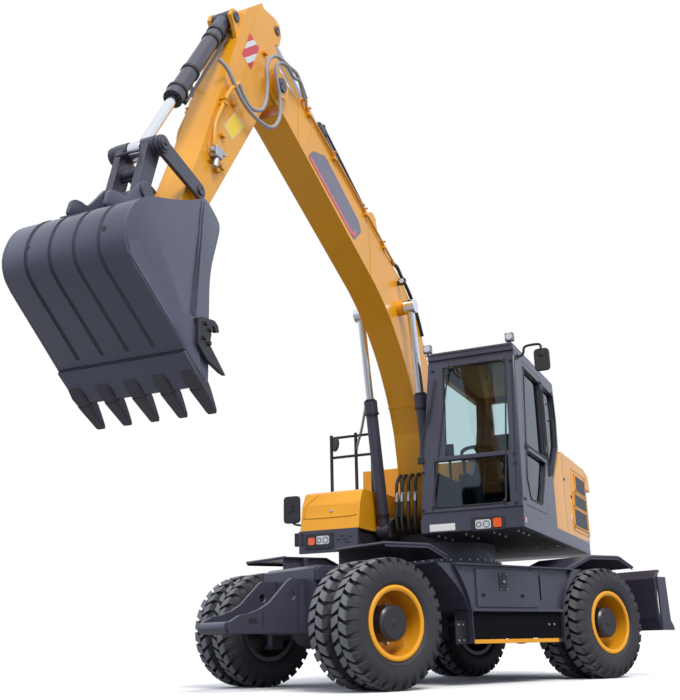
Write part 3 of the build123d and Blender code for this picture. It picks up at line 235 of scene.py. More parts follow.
class Piece:
    """One mesh made of simple solids, given in millimetres in the ROW or HOUSE frame."""

    def __init__(self, place=HOUSE):
        self.place = place
        self.mesh = bmesh.new()

    def box(self, low, high, turn=None):
        low, high = Vector(low), Vector(high)
        made = bmesh.ops.create_cube(self.mesh, size=1.0)
        size = high - low
        grow = Matrix.Diagonal((size.x, size.y, size.z, 1))
        move = Matrix.Translation((low + high) / 2)
        spin = turn if turn else Matrix.Identity(4)
        bmesh.ops.transform(self.mesh, matrix=self.place @ move @ spin @ grow, verts=made["verts"])
        return self

    def cyl(self, start, end, radius, end_radius=None, sides=16):
        start, end = Vector(start), Vector(end)
        run = end - start
        made = bmesh.ops.create_cone(self.mesh, cap_ends=True, segments=sides, radius1=radius,
                                     radius2=radius if end_radius is None else end_radius, depth=run.length)
        spin = run.to_track_quat("Z", "Y").to_matrix().to_4x4()
        bmesh.ops.transform(self.mesh, matrix=self.place @ Matrix.Translation((start + end) / 2) @ spin, verts=made["verts"])
        return self

    def band(self, start, end, inner, outer, sides=28):
        """Ring between two places on an axis."""
        start, end = Vector(start), Vector(end)
        spin = (end - start).to_track_quat("Z", "Y")
        rings = []
        for k in range(sides):
            out = spin @ Vector((math.cos(2 * math.pi * k / sides), math.sin(2 * math.pi * k / sides), 0))
            rings.append([self.mesh.verts.new(self.place @ (at + out * r)) for at, r in ((start, inner), (start, outer), (end, outer), (end, inner))])
        for one, two in zip(rings, rings[1:] + rings[:1]):
            for i in range(4):
                j = (i + 1) % 4
                self.mesh.faces.new((one[i], one[j], two[j], two[i]))
        return self

    def ball(self, centre, radius):
        made = bmesh.ops.create_uvsphere(self.mesh, u_segments=14, v_segments=9, radius=radius)
        bmesh.ops.transform(self.mesh, matrix=self.place @ Matrix.Translation(Vector(centre)), verts=made["verts"])
        return self

    def slab(self, outline, axis, low, high):
        """Prism of an outline in the two other axes, between two values along an axis ("x", "y" or "z")."""
        order = {"x": lambda a, b, c: (c, a, b), "y": lambda a, b, c: (a, c, b), "z": lambda a, b, c: (a, b, c)}[axis]
        rings = [[self.mesh.verts.new(self.place @ Vector(order(a, b, c))) for a, b in outline] for c in (low, high)]
        count = len(outline)
        self.mesh.faces.new(rings[0])
        self.mesh.faces.new(rings[1][::-1])
        for i in range(count):
            j = (i + 1) % count
            self.mesh.faces.new((rings[0][i], rings[0][j], rings[1][j], rings[1][i]))
        return self

    def lathe(self, profile, centre, axis="y", sides=48):
        """Ring about an axis through the centre; the profile is (along, radius)."""
        rings = []
        for k in range(sides):
            angle = 2 * math.pi * k / sides
            ring = []
            for along, radius in profile:
                a, b = radius * math.cos(angle), radius * math.sin(angle)
                offset = {"x": (along, a, b), "y": (a, along, b), "z": (a, b, along)}[axis]
                ring.append(self.mesh.verts.new(self.place @ (Vector(centre) + Vector(offset))))
            rings.append(ring)
        for k in range(sides):
            one, two = rings[k], rings[(k + 1) % sides]
            for i in range(len(profile) - 1):
                self.mesh.faces.new((one[i], one[i + 1], two[i + 1], two[i]))
        return self

    def done(self, name, body, look, slot, bevel=0.0, smooth=False):
        bmesh.ops.recalc_face_normals(self.mesh, faces=self.mesh.faces)
        data = bpy.data.meshes.new(name)
        self.mesh.to_mesh(data)
        self.mesh.free()
        piece = bpy.data.objects.new(name, data)
        bpy.context.scene.collection.objects.link(piece)
        data.materials.append(look)
        if bevel:
            mod = piece.modifiers.new("bevel", "BEVEL")
            mod.width = bevel * 0.001
            mod.segments = 2
            mod.limit_method = "ANGLE"
            mod.angle_limit = math.radians(40)
        if smooth:
            for face in data.polygons:
                face.use_smooth = True
            mod = piece.modifiers.new("edges", "EDGE_SPLIT")
            mod.split_angle = math.radians(35)
        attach(piece, body)
        return piece


def tube(name, points, radius, body, look, slot, place=HOUSE, sides=3, smooth=True):
    """Pipe or hose through points; straight runs with rounded corners."""
    data = bpy.data.curves.new(name, "CURVE")
    data.dimensions = "3D"
    data.bevel_depth = radius * 0.001
    data.bevel_resolution = sides
    data.use_fill_caps = True
    data.resolution_u = 8
    kind = "NURBS" if smooth else "POLY"
    line = data.splines.new(kind)
    line.points.add(len(points) - 1)
    for at, point in zip(line.points, points):
        at.co = (place @ Vector(point)).to_4d()
    if smooth:
        line.order_u = 3
        line.use_endpoint_u = True
    piece = bpy.data.objects.new(name, data)
    bpy.context.scene.collection.objects.link(piece)
    data.materials.append(look)
    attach(piece, body)
    return piece


def bolts(piece, places, direction, radius=9.0, height=8.0, sides=6):
    run = Vector(direction).normalized() * height
    for at in places:
        piece.cyl(Vector(at), Vector(at) + run, radius, sides=sides)
    return piece


# Camera, for a picture of 680 x 700

CAMERA_AT = Vector((6.945, 7.0045, 0.3485))
YAW, PITCH, ROLL = math.radians(-128.661), math.radians(17.603), math.radians(-1.241)
FOCAL_PX = 934.01
PICTURE_H = 700.0
look_along = Vector((math.cos(PITCH) * math.cos(YAW), math.cos(PITCH) * math.sin(YAW), math.sin(PITCH)))
level = look_along.cross(Vector((0, 0, 1))).normalized()
upright = level.cross(look_along)
right = math.cos(ROLL) * level + math.sin(ROLL) * upright
above = -math.sin(ROLL) * level + math.cos(ROLL) * upright
cam_data = bpy.data.cameras.new("camera")
cam_data.lens = FOCAL_PX * 36.0 / PICTURE_H
cam_data.sensor_width = 36.0
cam = bpy.data.objects.new("camera", cam_data)
bpy.context.scene.collection.objects.link(cam)
turn = Matrix((right, above, -look_along)).transposed().to_4x4()
cam.matrix_world = Matrix.Translation(CAMERA_AT) @ turn
cam_data.clip_start, cam_data.clip_end = 0.1, 200.0
bpy.context.scene.camera = cam

# Light: white behind, a bright sky above and a darker ground below

scene = bpy.context.scene
scene.view_settings.view_transform = "Standard"
world = bpy.data.worlds.new("sky")
scene.world = world
world.use_nodes = True
nod, link = world.node_tree.nodes, world.node_tree.links
nod.clear()
out = nod.new("ShaderNodeOutputWorld")
back = nod.new("ShaderNodeBackground")
back.inputs["Color"].default_value = (1, 1, 1, 1)
back.inputs["Strength"].default_value = 1.0
sky = nod.new("ShaderNodeBackground")
sky.inputs["Strength"].default_value = 1.05
coords = nod.new("ShaderNodeTexCoord")
split = nod.new("ShaderNodeSeparateXYZ")
ramp = nod.new("ShaderNodeValToRGB")
half = nod.new("ShaderNodeMapRange")
half.inputs["From Min"].default_value = -1.0
link.new(coords.outputs["Generated"], split.inputs["Vector"])
link.new(split.outputs["Z"], half.inputs["Value"])
link.new(half.outputs["Result"], ramp.inputs["Fac"])
SKY_STOPS = [(0.0, 0.20, 0.19, 0.18), (0.48, 0.30, 0.30, 0.31), (0.53, 0.66, 0.73, 0.88), (0.75, 0.86, 0.93, 1.06), (1.0, 0.98, 1.0, 1.04)]
while len(ramp.color_ramp.elements) < len(SKY_STOPS):
    ramp.color_ramp.elements.new(0.5)
for stop, (at, r, g, b) in zip(ramp.color_ramp.elements, SKY_STOPS):
    stop.position = at
    stop.color = (r, g, b, 1)
link.new(ramp.outputs["Color"], sky.inputs["Color"])
rays = nod.new("ShaderNodeLightPath")
mix = nod.new("ShaderNodeMixShader")
link.new(rays.outputs["Is Camera Ray"], mix.inputs["Fac"])
link.new(sky.outputs["Background"], mix.inputs[1])
link.new(back.outputs["Background"], mix.inputs[2])
link.new(mix.outputs["Shader"], out.inputs["Surface"])

sun_data = bpy.data.lights.new("sun", "SUN")
sun_data.energy = 2.5
sun_data.angle = math.radians(25)
sun_data.color = (1.0, 0.97, 0.92)
sun = bpy.data.objects.new("sun", sun_data)
sun.rotation_mode = "QUATERNION"
sun.rotation_quaternion = Vector((0.20, 0.62, 0.76)).to_track_quat("Z", "Y")
bpy.context.scene.collection.objects.link(sun)


# Tyres: carcass and lugs on a shared mesh, one for each hand

TREAD_BASE_R = 484.0
LUG_ROWS = 30
CARCASS = [
    (-98, 299), (-112, 303), (-124, 322), (-131, 350), (-134.5, 385), (-133, 412), (-126, 440), (-116, 462), (-104, 476), (-92, TREAD_BASE_R),
    (-46, TREAD_BASE_R + 1), (0, TREAD_BASE_R + 1), (46, TREAD_BASE_R + 1), (92, TREAD_BASE_R), (104, 476), (116, 462), (126, 440),
    (133, 412), (134.5, 385), (131, 350), (124, 322), (112, 303), (98, 299),
]
# Stations of one lug from the middle to the shoulder: y, top radius, skew in pitches, width in pitches
LUG = [
    (6, 520.0, 0.34, 0.66), (34, 519.8, 0.22, 0.74), (76, 518.6, 0.03, 0.76), (96, 515.0, -0.02, 0.72), (106, 506.0, -0.03, 0.62),
    (115, 488.0, -0.03, 0.54), (124, 463.0, -0.03, 0.50), (131, 436.0, -0.03, 0.46), (134, 424.0, -0.03, 0.42),
]


def tread_material():
    """Rubber that is dusty grey on the block faces and near black in the grooves and on the side wall."""
    mat = surface("tread", (0.034, 0.034, 0.040), rough=0.62, grime=0.3, bump=0.12, bump_scale=90, specular=0.4, edge_r=0.004)
    nod, link = mat.node_tree.nodes, mat.node_tree.links
    bsdf = nod["Principled BSDF"]
    paint = bsdf.inputs["Base Color"].links[0].from_socket
    split = nod.new("ShaderNodeSeparateXYZ")
    link.new(nod["Texture Coordinate"].outputs["Object"], split.inputs["Vector"])
    flat = nod.new("ShaderNodeCombineXYZ")
    link.new(split.outputs["X"], flat.inputs["X"])
    link.new(split.outputs["Z"], flat.inputs["Y"])
    length = nod.new("ShaderNodeVectorMath")
    length.operation = "LENGTH"
    link.new(flat.outputs["Vector"], length.inputs[0])
    worn = nod.new("ShaderNodeMapRange")
    worn.inputs["From Min"].default_value = 0.512
    worn.inputs["From Max"].default_value = 0.518
    link.new(length.outputs["Value"], worn.inputs["Value"])
    mix = nod.new("ShaderNodeMix")
    mix.data_type = "RGBA"
    link.new(worn.outputs["Result"], mix.inputs["Factor"])
    link.new(paint, mix.inputs[6])
    mix.inputs[7].default_value = (0.165, 0.165, 0.180, 1)
    link.new(mix.outputs[2], bsdf.inputs["Base Color"])
    return mat


TREAD = tread_material()


def lug_floor(y):
    """Radius of the carcass under a lug at a distance from the middle."""
    points = CARCASS[11:]
    for (y0, r0), (y1, r1) in zip(points, points[1:]):
        if y0 <= y <= y1:
            return r0 + (r1 - r0) * (y - y0) / (y1 - y0)
    return 430.0


def tyre_mesh(name, hand):
    made = bmesh.new()
    sides = 104
    rings = []
    for k in range(sides):
        angle = 2 * math.pi * k / sides
        rings.append([made.verts.new(Vector((r * math.cos(angle), y, r * math.sin(angle))) * 0.001) for y, r in CARCASS])
    for k in range(sides):
        one, two = rings[k], rings[(k + 1) % sides]
        for i in range(len(CARCASS) - 1):
            made.faces.new((one[i], one[i + 1], two[i + 1], two[i])).smooth = True
    pitch = 2 * math.pi / LUG_ROWS
    for row in (1, -1):
        for k in range(LUG_ROWS):
            base = pitch * (k + (0.5 if row < 0 else 0.0))
            grid = []
            for y, top, skew, width in LUG:
                sink = 6.0 if y < 110 else 4.0
                floor = min(lug_floor(y) - sink, top - 6)
                line = []
                for s, r in ((-0.5, floor), (-0.46, top), (0.46, top), (0.5, floor)):
                    angle = base + hand * pitch * (skew * row * row + s * width) * 1.0
                    out_y = row * (y if r == top else y - (5 if y > 120 else 0))
                    line.append(made.verts.new(Vector((r * math.cos(angle), out_y, r * math.sin(angle))) * 0.001))
                grid.append(line)
            for one, two in zip(grid, grid[1:]):
                for i in range(3):
                    made.faces.new((one[i], one[i + 1], two[i + 1], two[i]))
            made.faces.new(grid[0])
            made.faces.new(grid[-1][::-1])
    # rings moulded in the side wall
    for row in (1, -1):
        for radius, out in ((332, 3.0), (408, 2.0)):
            y = 128.5 if radius == 332 else 134.5
            ring = []
            for k in range(72):
                angle = 2 * math.pi * k / 72
                ring.append([made.verts.new(Vector(((radius + dr) * math.cos(angle), row * (y + dy), (radius + dr) * math.sin(angle))) * 0.001)
                             for dr, dy in ((-5, -2), (0, out), (5, -2))])
            for k in range(72):
                one, two = ring[k], ring[(k + 1) % 72]
                for i in range(2):
                    made.faces.new((one[i], one[i + 1], two[i + 1], two[i])).smooth = True
    bmesh.ops.recalc_face_normals(made, faces=made.faces)
    data = bpy.data.meshes.new(name)
    made.to_mesh(data)
    made.free()
    data.materials.append(TREAD)
    return data


TYRE_MESH = {1: tyre_mesh("tyre_a", 1), -1: tyre_mesh("tyre_b", -1)}
for end, axle_x in AXLES.items():
    for side, side_name in ((1, "left"), (-1, "right")):
        body = f"wheel_{end}_{side_name}"
        made = []
        for place, y in (("outer", 1055.0), ("inner", 755.0)):
            piece = bpy.data.objects.new(f"tyre_{end}_{side_name}_{place}", TYRE_MESH[side])
            bpy.context.scene.collection.objects.link(piece)
            spin = random.randrange(4) * math.pi / 2
            piece.matrix_world = Matrix.Translation((axle_x / 1000, side * y / 1000, AXLE_Z / 1000)) @ Matrix.Rotation(spin, 4, "Y")
            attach(piece, body)
            made.append(piece)
        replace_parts(made[0], f"tyres_{end}_{side_name}")
        # nuts on the disc, ring on the rim's edge, hub cap
        nuts = Piece(ROW)
        for k in range(10):
            angle = 2 * math.pi * (k + 0.5) / 10
            at = (axle_x + 190 * math.cos(angle), side * 895, AXLE_Z + 190 * math.sin(angle))
            nuts.cyl(at, (at[0], side * 922, at[2]), 17, sides=6)
        nuts.done(f"nuts_{end}_{side_name}", body, STEEL, "rod_chrome")
        ring = Piece(ROW)
        profile = [(1163, 262), (1172, 264), (1176, 276), (1174, 289), (1168, 297), (1150, 297), (1150, 262)]
        ring.lathe([(side * y, r) for y, r in profile + profile[:1]], (axle_x, 0, AXLE_Z), sides=72)
        ring.done(f"rim_edge_{end}_{side_name}", body, YELLOW, "yellow_paint", smooth=True)
        cap = Piece(ROW)
        cap.cyl((axle_x, side * 1137, AXLE_Z), (axle_x, side * 1142, AXLE_Z), 128, 120, sides=48)
        cap.cyl((axle_x, side * 1142, AXLE_Z), (axle_x, side * 1148, AXLE_Z), 30, 26, sides=24)
        cap.done(f"hub_cap_{end}_{side_name}", body, BLACK, "dark_paint", bevel=2)

# Hoses and pipes as meshes; one that crosses a joint is left in place, joined to no body

def smooth_line(points, steps=7):
    """Catmull-Rom line through the points."""
    pts = [Vector(p) for p in points]
    pts = [pts[0] * 2 - pts[1]] + pts + [pts[-1] * 2 - pts[-2]]
    line = []
    for a, b, c, d in zip(pts, pts[1:], pts[2:], pts[3:]):
        for k in range(steps):
            t = k / steps
            line.append(0.5 * (2 * b + (c - a) * t + (2 * a - 5 * b + 4 * c - d) * t * t + (3 * b - a - 3 * c + d) * t ** 3))
    line.append(pts[-2])
    return line


def hose(name, points, radius, body, look, place=HOUSE, sides=10, bend=None, steps=7):
    """Mesh tube through points; bend is (body a, body b, start, end) where it crosses a joint; only whether it is given
    is read, and then the tube is baked in place and joined to no body.
    """
    line = smooth_line(points, steps)
    mesh = bmesh.new()
    rings = []
    side = None
    for i, at in enumerate(line):
        run = (line[min(i + 1, len(line) - 1)] - line[max(i - 1, 0)]).normalized()
        side = run.orthogonal() if side is None else side - run * side.dot(run)
        side.normalize()
        other = run.cross(side)
        rings.append([mesh.verts.new(place @ (at + radius * (math.cos(a) * side + math.sin(a) * other)))
                      for a in (2 * math.pi * k / sides for k in range(sides))])
    for one, two in zip(rings, rings[1:]):
        for k in range(sides):
            mesh.faces.new((one[k], one[(k + 1) % sides], two[(k + 1) % sides], two[k])).smooth = True
    mesh.faces.new(rings[0][::-1])
    mesh.faces.new(rings[-1])
    data = bpy.data.meshes.new(name)
    mesh.to_mesh(data)
    mesh.free()
    piece = bpy.data.objects.new(name, data)
    bpy.context.scene.collection.objects.link(piece)
    data.materials.append(look)
    if bend:
        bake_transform(piece)
    else:
        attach(piece, body)
    return piece


def rounded(corners, radius, steps=5):
    """Closed outline with its corners rounded."""
    made = []
    count = len(corners)
    for i, corner in enumerate(corners):
        at = Vector(corner)
        for k in range(steps + 1):
            before = (Vector(corners[i - 1]) - at).normalized() * radius
            after = (Vector(corners[(i + 1) % count]) - at).normalized() * radius
            t = k / steps
            made.append(tuple(at + before * (1 - t) ** 2 + after * t ** 2))
    return made


# Boom: panels with their stripe on both webs, pipes with clamps, weld lines, lamp

BOOM_WEB, ARM_WEB = 145.0, 120.0
PANEL = [(3063, 4304), (2965, 4401), (2726, 4473), (2003, 4140), (1962, 4054), (2132, 3904)]
STRIPE = [(3030, 4290), (2160, 3916), (2144, 3953), (3014, 4327)]
STRIPE_FOOT = [(2160, 3916), (2085, 3984), (2104, 4018), (2182, 3956)]
panels, stripes = Piece(), Piece()
for side in (1, -1):
    web = BOOM_Y + side * BOOM_WEB
    panels.slab(rounded(PANEL, 28), "y", web, web + side * 2.5)
    for outline in (STRIPE, STRIPE_FOOT):
        stripes.slab(outline, "y", web + side * 2.5, web + side * 3.5)
panels.done("boom_panels", "boom", BADGE, "dark_paint")
stripes.done("boom_stripes", "boom", PINK, "lamp_plastic")


def boom_top(x):
    """Height of the boom's top plate at a place along it."""
    line = [(970, 3930), (2000, 4330), (3150, 4730), (3560, 4800)]
    for (x0, z0), (x1, z1) in zip(line, line[1:]):
        if x <= x1:
            return z0 + (z1 - z0) * (x - x0) / (x1 - x0)
    return 4800.0


PIPE_AT = [(118.0, 44.0), (158.0, 24.0)]
for side, side_name in ((1, "left"), (-1, "right")):
    for k, (off, lift) in enumerate(PIPE_AT):
        y = BOOM_Y + side * off
        run = [(x, y, boom_top(x) + lift) for x in (1150, 1700, 2200, 2700, 3080)]
        run.append((3170, y + side * 30, boom_top(3170) + lift + 20))
        hose(f"boom_pipe_{side_name}_{k}", run, 13, "boom", YELLOW, steps=4)
    clamps = Piece()
    for x in (1420, 1860, 2560, 3060):
        z = boom_top(x)
        low, high = sorted((BOOM_Y + side * 98, BOOM_Y + side * 178))
        clamps.box((x - 26, low, z - 14), (x + 26, high, z + 12))
        clamps.box((x - 14, low, z + 58), (x + 14, high, z + 68))
        clamps.cyl((x, BOOM_Y + side * 138, z + 10), (x, BOOM_Y + side * 138, z + 76), 7, sides=8)
    clamps.done(f"boom_clamps_{side_name}", "boom", YELLOW, "yellow_paint", bevel=2)
    hose(f"boom_hose_{side_name}",
         [(1170, BOOM_Y + side * 130, boom_top(1170) + 40), (1060, BOOM_Y + side * 150, boom_top(1060) + 66), (960, BOOM_Y + side * 156, 3960),
          (760, BOOM_Y + side * 157, 3860), (560, BOOM_Y + side * 157, 3700), (400, BOOM_Y + side * 157, 3480)],
         19, "boom", HOSE)

welds = Piece()
for side in (1, -1):
    y = BOOM_Y + side * (BOOM_WEB + 0.5)
    welds.cyl((108, y, 2660), (700, y, 2660), 4, sides=6)
    welds.cyl((1760, y, 4235), (1760, y, 3680), 4, sides=6)
    welds.cyl((3240, y, 4760), (3240, y, 4345), 4, sides=6)
    welds.cyl((2960, y, 4660), (3060, y, 4470), 4, sides=6)
welds.cyl((704, BOOM_Y - 144, 2660), (704, BOOM_Y + 144, 2660), 4, sides=6)
welds.cyl((1760, BOOM_Y - 144, 3678), (1760, BOOM_Y + 144, 3678), 4, sides=6)
welds.done("boom_welds", "boom", YELLOW, "yellow_paint")

lamp = Piece()
lamp.box((1040, -14, 3830), (1056, 20, 3884)).box((1044, 14, 3826), (1092, 80, 3890))
lamp.done("boom_lamp", "boom", BLACK, "black_plastic", bevel=5)
Piece().cyl((1092, 47, 3858), (1097, 47, 3858), 25, sides=24).done("boom_lamp_lens", "boom", WHITE, "lamp_plastic")

pins = Piece()
for (x, z), half, radius in (((3610, 4655), 191, 62), ((1049, 3583), 206, 40)):
    for side in (1, -1):
        pins.cyl((x, BOOM_Y + side * half, z), (x, BOOM_Y + side * (half + 14), z), radius, radius - 5, sides=32)
        pins.cyl((x + 0.4 * radius, BOOM_Y + side * (half + 14), z), (x + 0.4 * radius, BOOM_Y + side * (half + 22), z), 10, sides=6)
pins.done("boom_pins", "boom", DARK, "dark_paint", smooth=True)

# Arm: signs, pipes, rupture valves, tabs and pin heads

DIAMOND = [Vector(p) for p in ((4003, 4914), (4119, 4650), (3983, 4593), (3861, 4869))]
YELLOW_SIGN = [(4208, 4098), (4354, 3903), (4243, 3840), (4077, 4044)]


def across(t):
    """The two edge points of the diamond at a share of its length."""
    a, b, c, d = DIAMOND
    if t < 0.5:
        return a.lerp(b, 2 * t), a.lerp(d, 2 * t)
    return b.lerp(c, 2 * t - 1), d.lerp(c, 2 * t - 1)


red, white, sign, rim_white = Piece(), Piece(), Piece(), Piece()
for side in (1, -1):
    web = BOOM_Y + side * ARM_WEB
    red.slab([tuple(p) for p in DIAMOND], "y", web, web + side * 1.4)
    for t0, t1 in ((0.22, 0.38), (0.62, 0.80)):
        (l0, r0), (l1, r1) = across(t0), across(t1)
        white.slab([tuple(l0), tuple(r0), tuple(r1), tuple(l1)], "y", web + side * 1.4, web + side * 2.0)
    middle = sum((Vector(p) for p in YELLOW_SIGN), Vector((0, 0))) / 4
    rim_white.slab(YELLOW_SIGN, "y", web, web + side * 1.2)
    sign.slab([tuple(middle + (Vector(p) - middle) * 0.93) for p in YELLOW_SIGN], "y", web + side * 1.2, web + side * 2.0)
red.done("arm_diamond_red", "arm", RED, "lamp_plastic")
white.done("arm_diamond_white", "arm", PLATE, "lamp_plastic")
rim_white.done("arm_sign_edge", "arm", PLATE, "lamp_plastic")
sign.done("arm_sign", "arm", SIGN, "lamp_plastic")

for side, side_name in ((1, "left"), (-1, "right")):
    web = BOOM_Y + side * ARM_WEB
    out = web + side * 30
    hose(f"arm_pipe_{side_name}", [(4244, web + side * 56, 4306), (4340, web + side * 46, 4200), (4404, out, 4067), (4470, out, 3930), (4513, out, 3828), (4526, out, 3700), (4524, out, 3640)],
         15, "arm", YELLOW, steps=4)
    low, high = sorted((web, web + side * 50))
    tabs = Piece()
    tabs.box((4382, low, 4040), (4428, high, 4064)).box((4386, low, 4080), (4424, high, 4096))
    for x, z in ((4246, 4140), (4388, 3805), (4392, 3547), (3782, 4867), (4450, 3500)):
        low_y, high_y = sorted((web, web + side * 26))
        tabs.box((x - 22, low_y, z - 14), (x + 22, high_y, z + 14))
    tabs.done(f"arm_tabs_{side_name}", "arm", YELLOW, "yellow_paint", bevel=3)
    valve = Piece()
    low, high = sorted((web + side * 10, web + side * 66))
    valve.box((4462, low, 3560), (4546, high, 3640)).box((4430, low, 3600), (4470, high, 3636))
    valve.cyl((4504, web + side * 38, 3560), (4516, web + side * 38, 3486), 22, sides=12)
    valve.cyl((4440, web + side * 38, 3618), (4396, web + side * 38, 3636), 15, sides=10)
    valve.cyl((4548, web + side * 38, 3600), (4580, web + side * 38, 3596), 17, sides=10)
    valve.done(f"arm_valve_{side_name}", "arm", STEEL, "rod_chrome", bevel=4)
    seat_low, seat_high = sorted((web, web + side * 10))
    Piece().box((4440, seat_low, 3530), (4560, seat_high, 3650)).done(f"arm_valve_plate_{side_name}", "arm", YELLOW, "yellow_paint", bevel=2)
    # grey hoses from the boom's pipes over the pin to the arm
    top = boom_top(3170)
    first = [(3160, web + side * 62, top + 62), (3330, web + side * 90, 4850), (3458, web + side * 98, 4813), (3571, web + side * 98, 4850), (3698, web + side * 98, 4803),
             (3759, web + side * 98, 4717), (3744, web + side * 98, 4608), (3692, web + side * 98, 4470), (3705, web + side * 98, 4297),
             (3818, web + side * 96, 4154), (3991, web + side * 90, 4109), (4183, web + side * 76, 4142), (4300, web + side * 60, 4240),
             (4386, web + side * 40, 4344), (4450, web + side * 4, 4400)]
    second = [(3165, web + side * 52, top + 40), (3380, web + side * 96, 4872), (3539, web + side * 100, 4862), (3728, web + side * 100, 4838), (3850, web + side * 100, 4754),
              (3914, web + side * 100, 4622), (3902, web + side * 98, 4497), (3913, web + side * 96, 4344), (3977, web + side * 92, 4219),
              (4102, web + side * 76, 4170), (4190, web + side * 62, 4230), (4246, web + side * 56, 4304)]
    for k, line in enumerate((first, second)):
        hose(f"arm_hose_{side_name}_{k}", line, 15, None, SLEEVE, bend=("boom", "arm", (3420, BOOM_Y, 4850), (3950, BOOM_Y, 4350)))

pins = Piece()
for (x, z), half, radius in (((4722, 3207), 184, 34), ((4858, 2843), 153, 37), ((4192, 4938), 107, 44), ((3515, 5265), 93, 42)):
    for side in (1, -1):
        pins.cyl((x, BOOM_Y + side * half, z), (x, BOOM_Y + side * (half + 10), z), radius, radius - 4, sides=28)
        pins.cyl((x, BOOM_Y + side * (half + 10), z + radius * 0.5), (x, BOOM_Y + side * (half + 16), z + radius * 0.5), 7, sides=6)
pins.done("arm_pins", "arm", DARK, "dark_paint", smooth=True)

ribs = Piece()
for side in (1, -1):
    y = BOOM_Y + side * (ARM_WEB + 0.5)
    ribs.cyl((3880, y, 5235), (4180, y, 4560), 5, sides=6)
    ribs.cyl((4180, y, 4560), (4560, y, 3640), 5, sides=6)
ribs.done("arm_welds", "arm", YELLOW, "yellow_paint")

# Cylinders: rings, gland bolts, ports and the pipe beside each barrel


def cylinder_trim(name, foot, eye, y, radius, length, gland_r, gland_len, rod_r, body, pipe_side, pipe_y, rings, head=12, collar=26):
    foot, eye = Vector((foot[0], y, foot[1])), Vector((eye[0], y, eye[1]))
    run = (eye - foot).normalized()
    up = Vector((-run.z, 0, run.x)) * pipe_side
    out = Vector((0, pipe_y, 0))
    trim = Piece()
    for at in rings:
        trim.band(foot + run * at, foot + run * (at + 34), radius - 4, radius + 8)
    trim.band(foot + run * (length - gland_len - 8), foot + run * (length - gland_len + 16), gland_r - 8, gland_r + 7)
    for k in range(10):
        angle = 2 * math.pi * k / 10
        at = foot + run * length + (up * math.cos(angle) + Vector((0, math.sin(angle), 0))) * (gland_r - 11)
        trim.cyl(at, at + run * head, 8, sides=6)
    trim.band(foot + run * (length + 0.5), foot + run * (length + collar), rod_r + 1.5, rod_r + 12)
    first, last = foot + run * 150, foot + run * (length - gland_len * 0.6)
    for at in (first, last):
        port = (up + out.normalized() * 0.6).normalized()
        trim.cyl(at + port * (radius - 8), at + port * (radius + 34), 19, sides=12)
    trim.done(f"{name}_trim", body, BLACK, "dark_paint", smooth=True)
    lift = (up + out.normalized() * 0.6).normalized()
    hose(f"{name}_pipe", [tuple(p + lift * (radius + 24)) for p in (first, first + run * 60, (first + last) / 2, last - run * 60, last)], 11, body, DARK, steps=2)


K, J = (600, 1435), (1049, 3583)
G, F = (1550, 4355), (3515, 5265)
E, L = (4192, 4938), (5152, 3328)
for side, side_name in ((1, "left"), (-1, "right")):
    cylinder_trim(f"boom_cylinder_{side_name}", K, J, BOOM_Y + side * 270, 60, 1300, 68, 130, 38, "boom_barrels", 1, side * 1.0, (140,))
cylinder_trim("arm_cylinder", G, F, BOOM_Y, 64, 1190, 72, 110, 40, "arm_barrel", 1, 1.0, (160, 760), 4, 3)
cylinder_trim("bucket_cylinder", E, L, BOOM_Y, 60, 1215, 68, 100, 35, "bucket_barrel", -1, 1.0, (210, 330, 820), 4, 3)

# Bucket: weld lines, wear plates, drain holes, pins

BUCKET_HALF_W = 448.0
LIP = (5030.0, 1780.0)
OUTER = [(5072, 2932), (5150, 2893), (5233, 2850), (5382, 2790), (5530, 2742), (5612, 2706), (5676, 2658), (5726, 2596), (5760, 2520), (5774, 2450),
         (5768, 2390), (5744, 2334), (5700, 2288), (5640, 2240), (5335, 2014), (5030, 1783)]
SIDE_EDGE = [(5072, 2932), (5040, 2925), (4985, 2895), (4922, 2850), (4902, 2810), (4915, 2740), (4975, 2550), (4994, 2450), (4999, 2370), (4998, 2200),
             (4992, 1850), (5000, 1800)]


def offset_line(line, gap):
    """Open line in the side view moved to its left by a gap."""
    made = []
    for i, at in enumerate(line):
        one = Vector(line[max(i - 1, 0)])
        two = Vector(line[min(i + 1, len(line) - 1)])
        run = (two - one).normalized()
        made.append((at[0] - run.y * gap, at[1] + run.x * gap))
    return made


def sheet(piece, line, thick, y_low, y_high):
    """Bent plate along an open line of the side view, its thickness to the left of the line."""
    inner = offset_line(line, thick)
    rings = [[piece.mesh.verts.new(piece.place @ Vector((x, y, z))) for x, z in points] for y in (y_low, y_high) for points in (line, inner)]
    count = len(line)
    for i in range(count - 1):
        piece.mesh.faces.new((rings[0][i], rings[0][i + 1], rings[2][i + 1], rings[2][i]))
        piece.mesh.faces.new((rings[1][i], rings[3][i], rings[3][i + 1], rings[1][i + 1]))
        piece.mesh.faces.new((rings[0][i], rings[1][i], rings[1][i + 1], rings[0][i + 1]))
        piece.mesh.faces.new((rings[2][i], rings[2][i + 1], rings[3][i + 1], rings[3][i]))
    for i in (0, count - 1):
        piece.mesh.faces.new((rings[0][i], rings[2][i], rings[3][i], rings[1][i]))
    return piece


def narrow(piece):
    """Draw the sides in towards the heel."""
    back = HOUSE.inverted()
    for vert in piece.mesh.verts:
        at = back @ vert.co
        share = min(max((at.x - 5200) / 550, 0.0), 1.0)
        at.y = BOOM_Y + (at.y - BOOM_Y) * (1 - 0.065 * share)
        vert.co = HOUSE @ at
    return piece


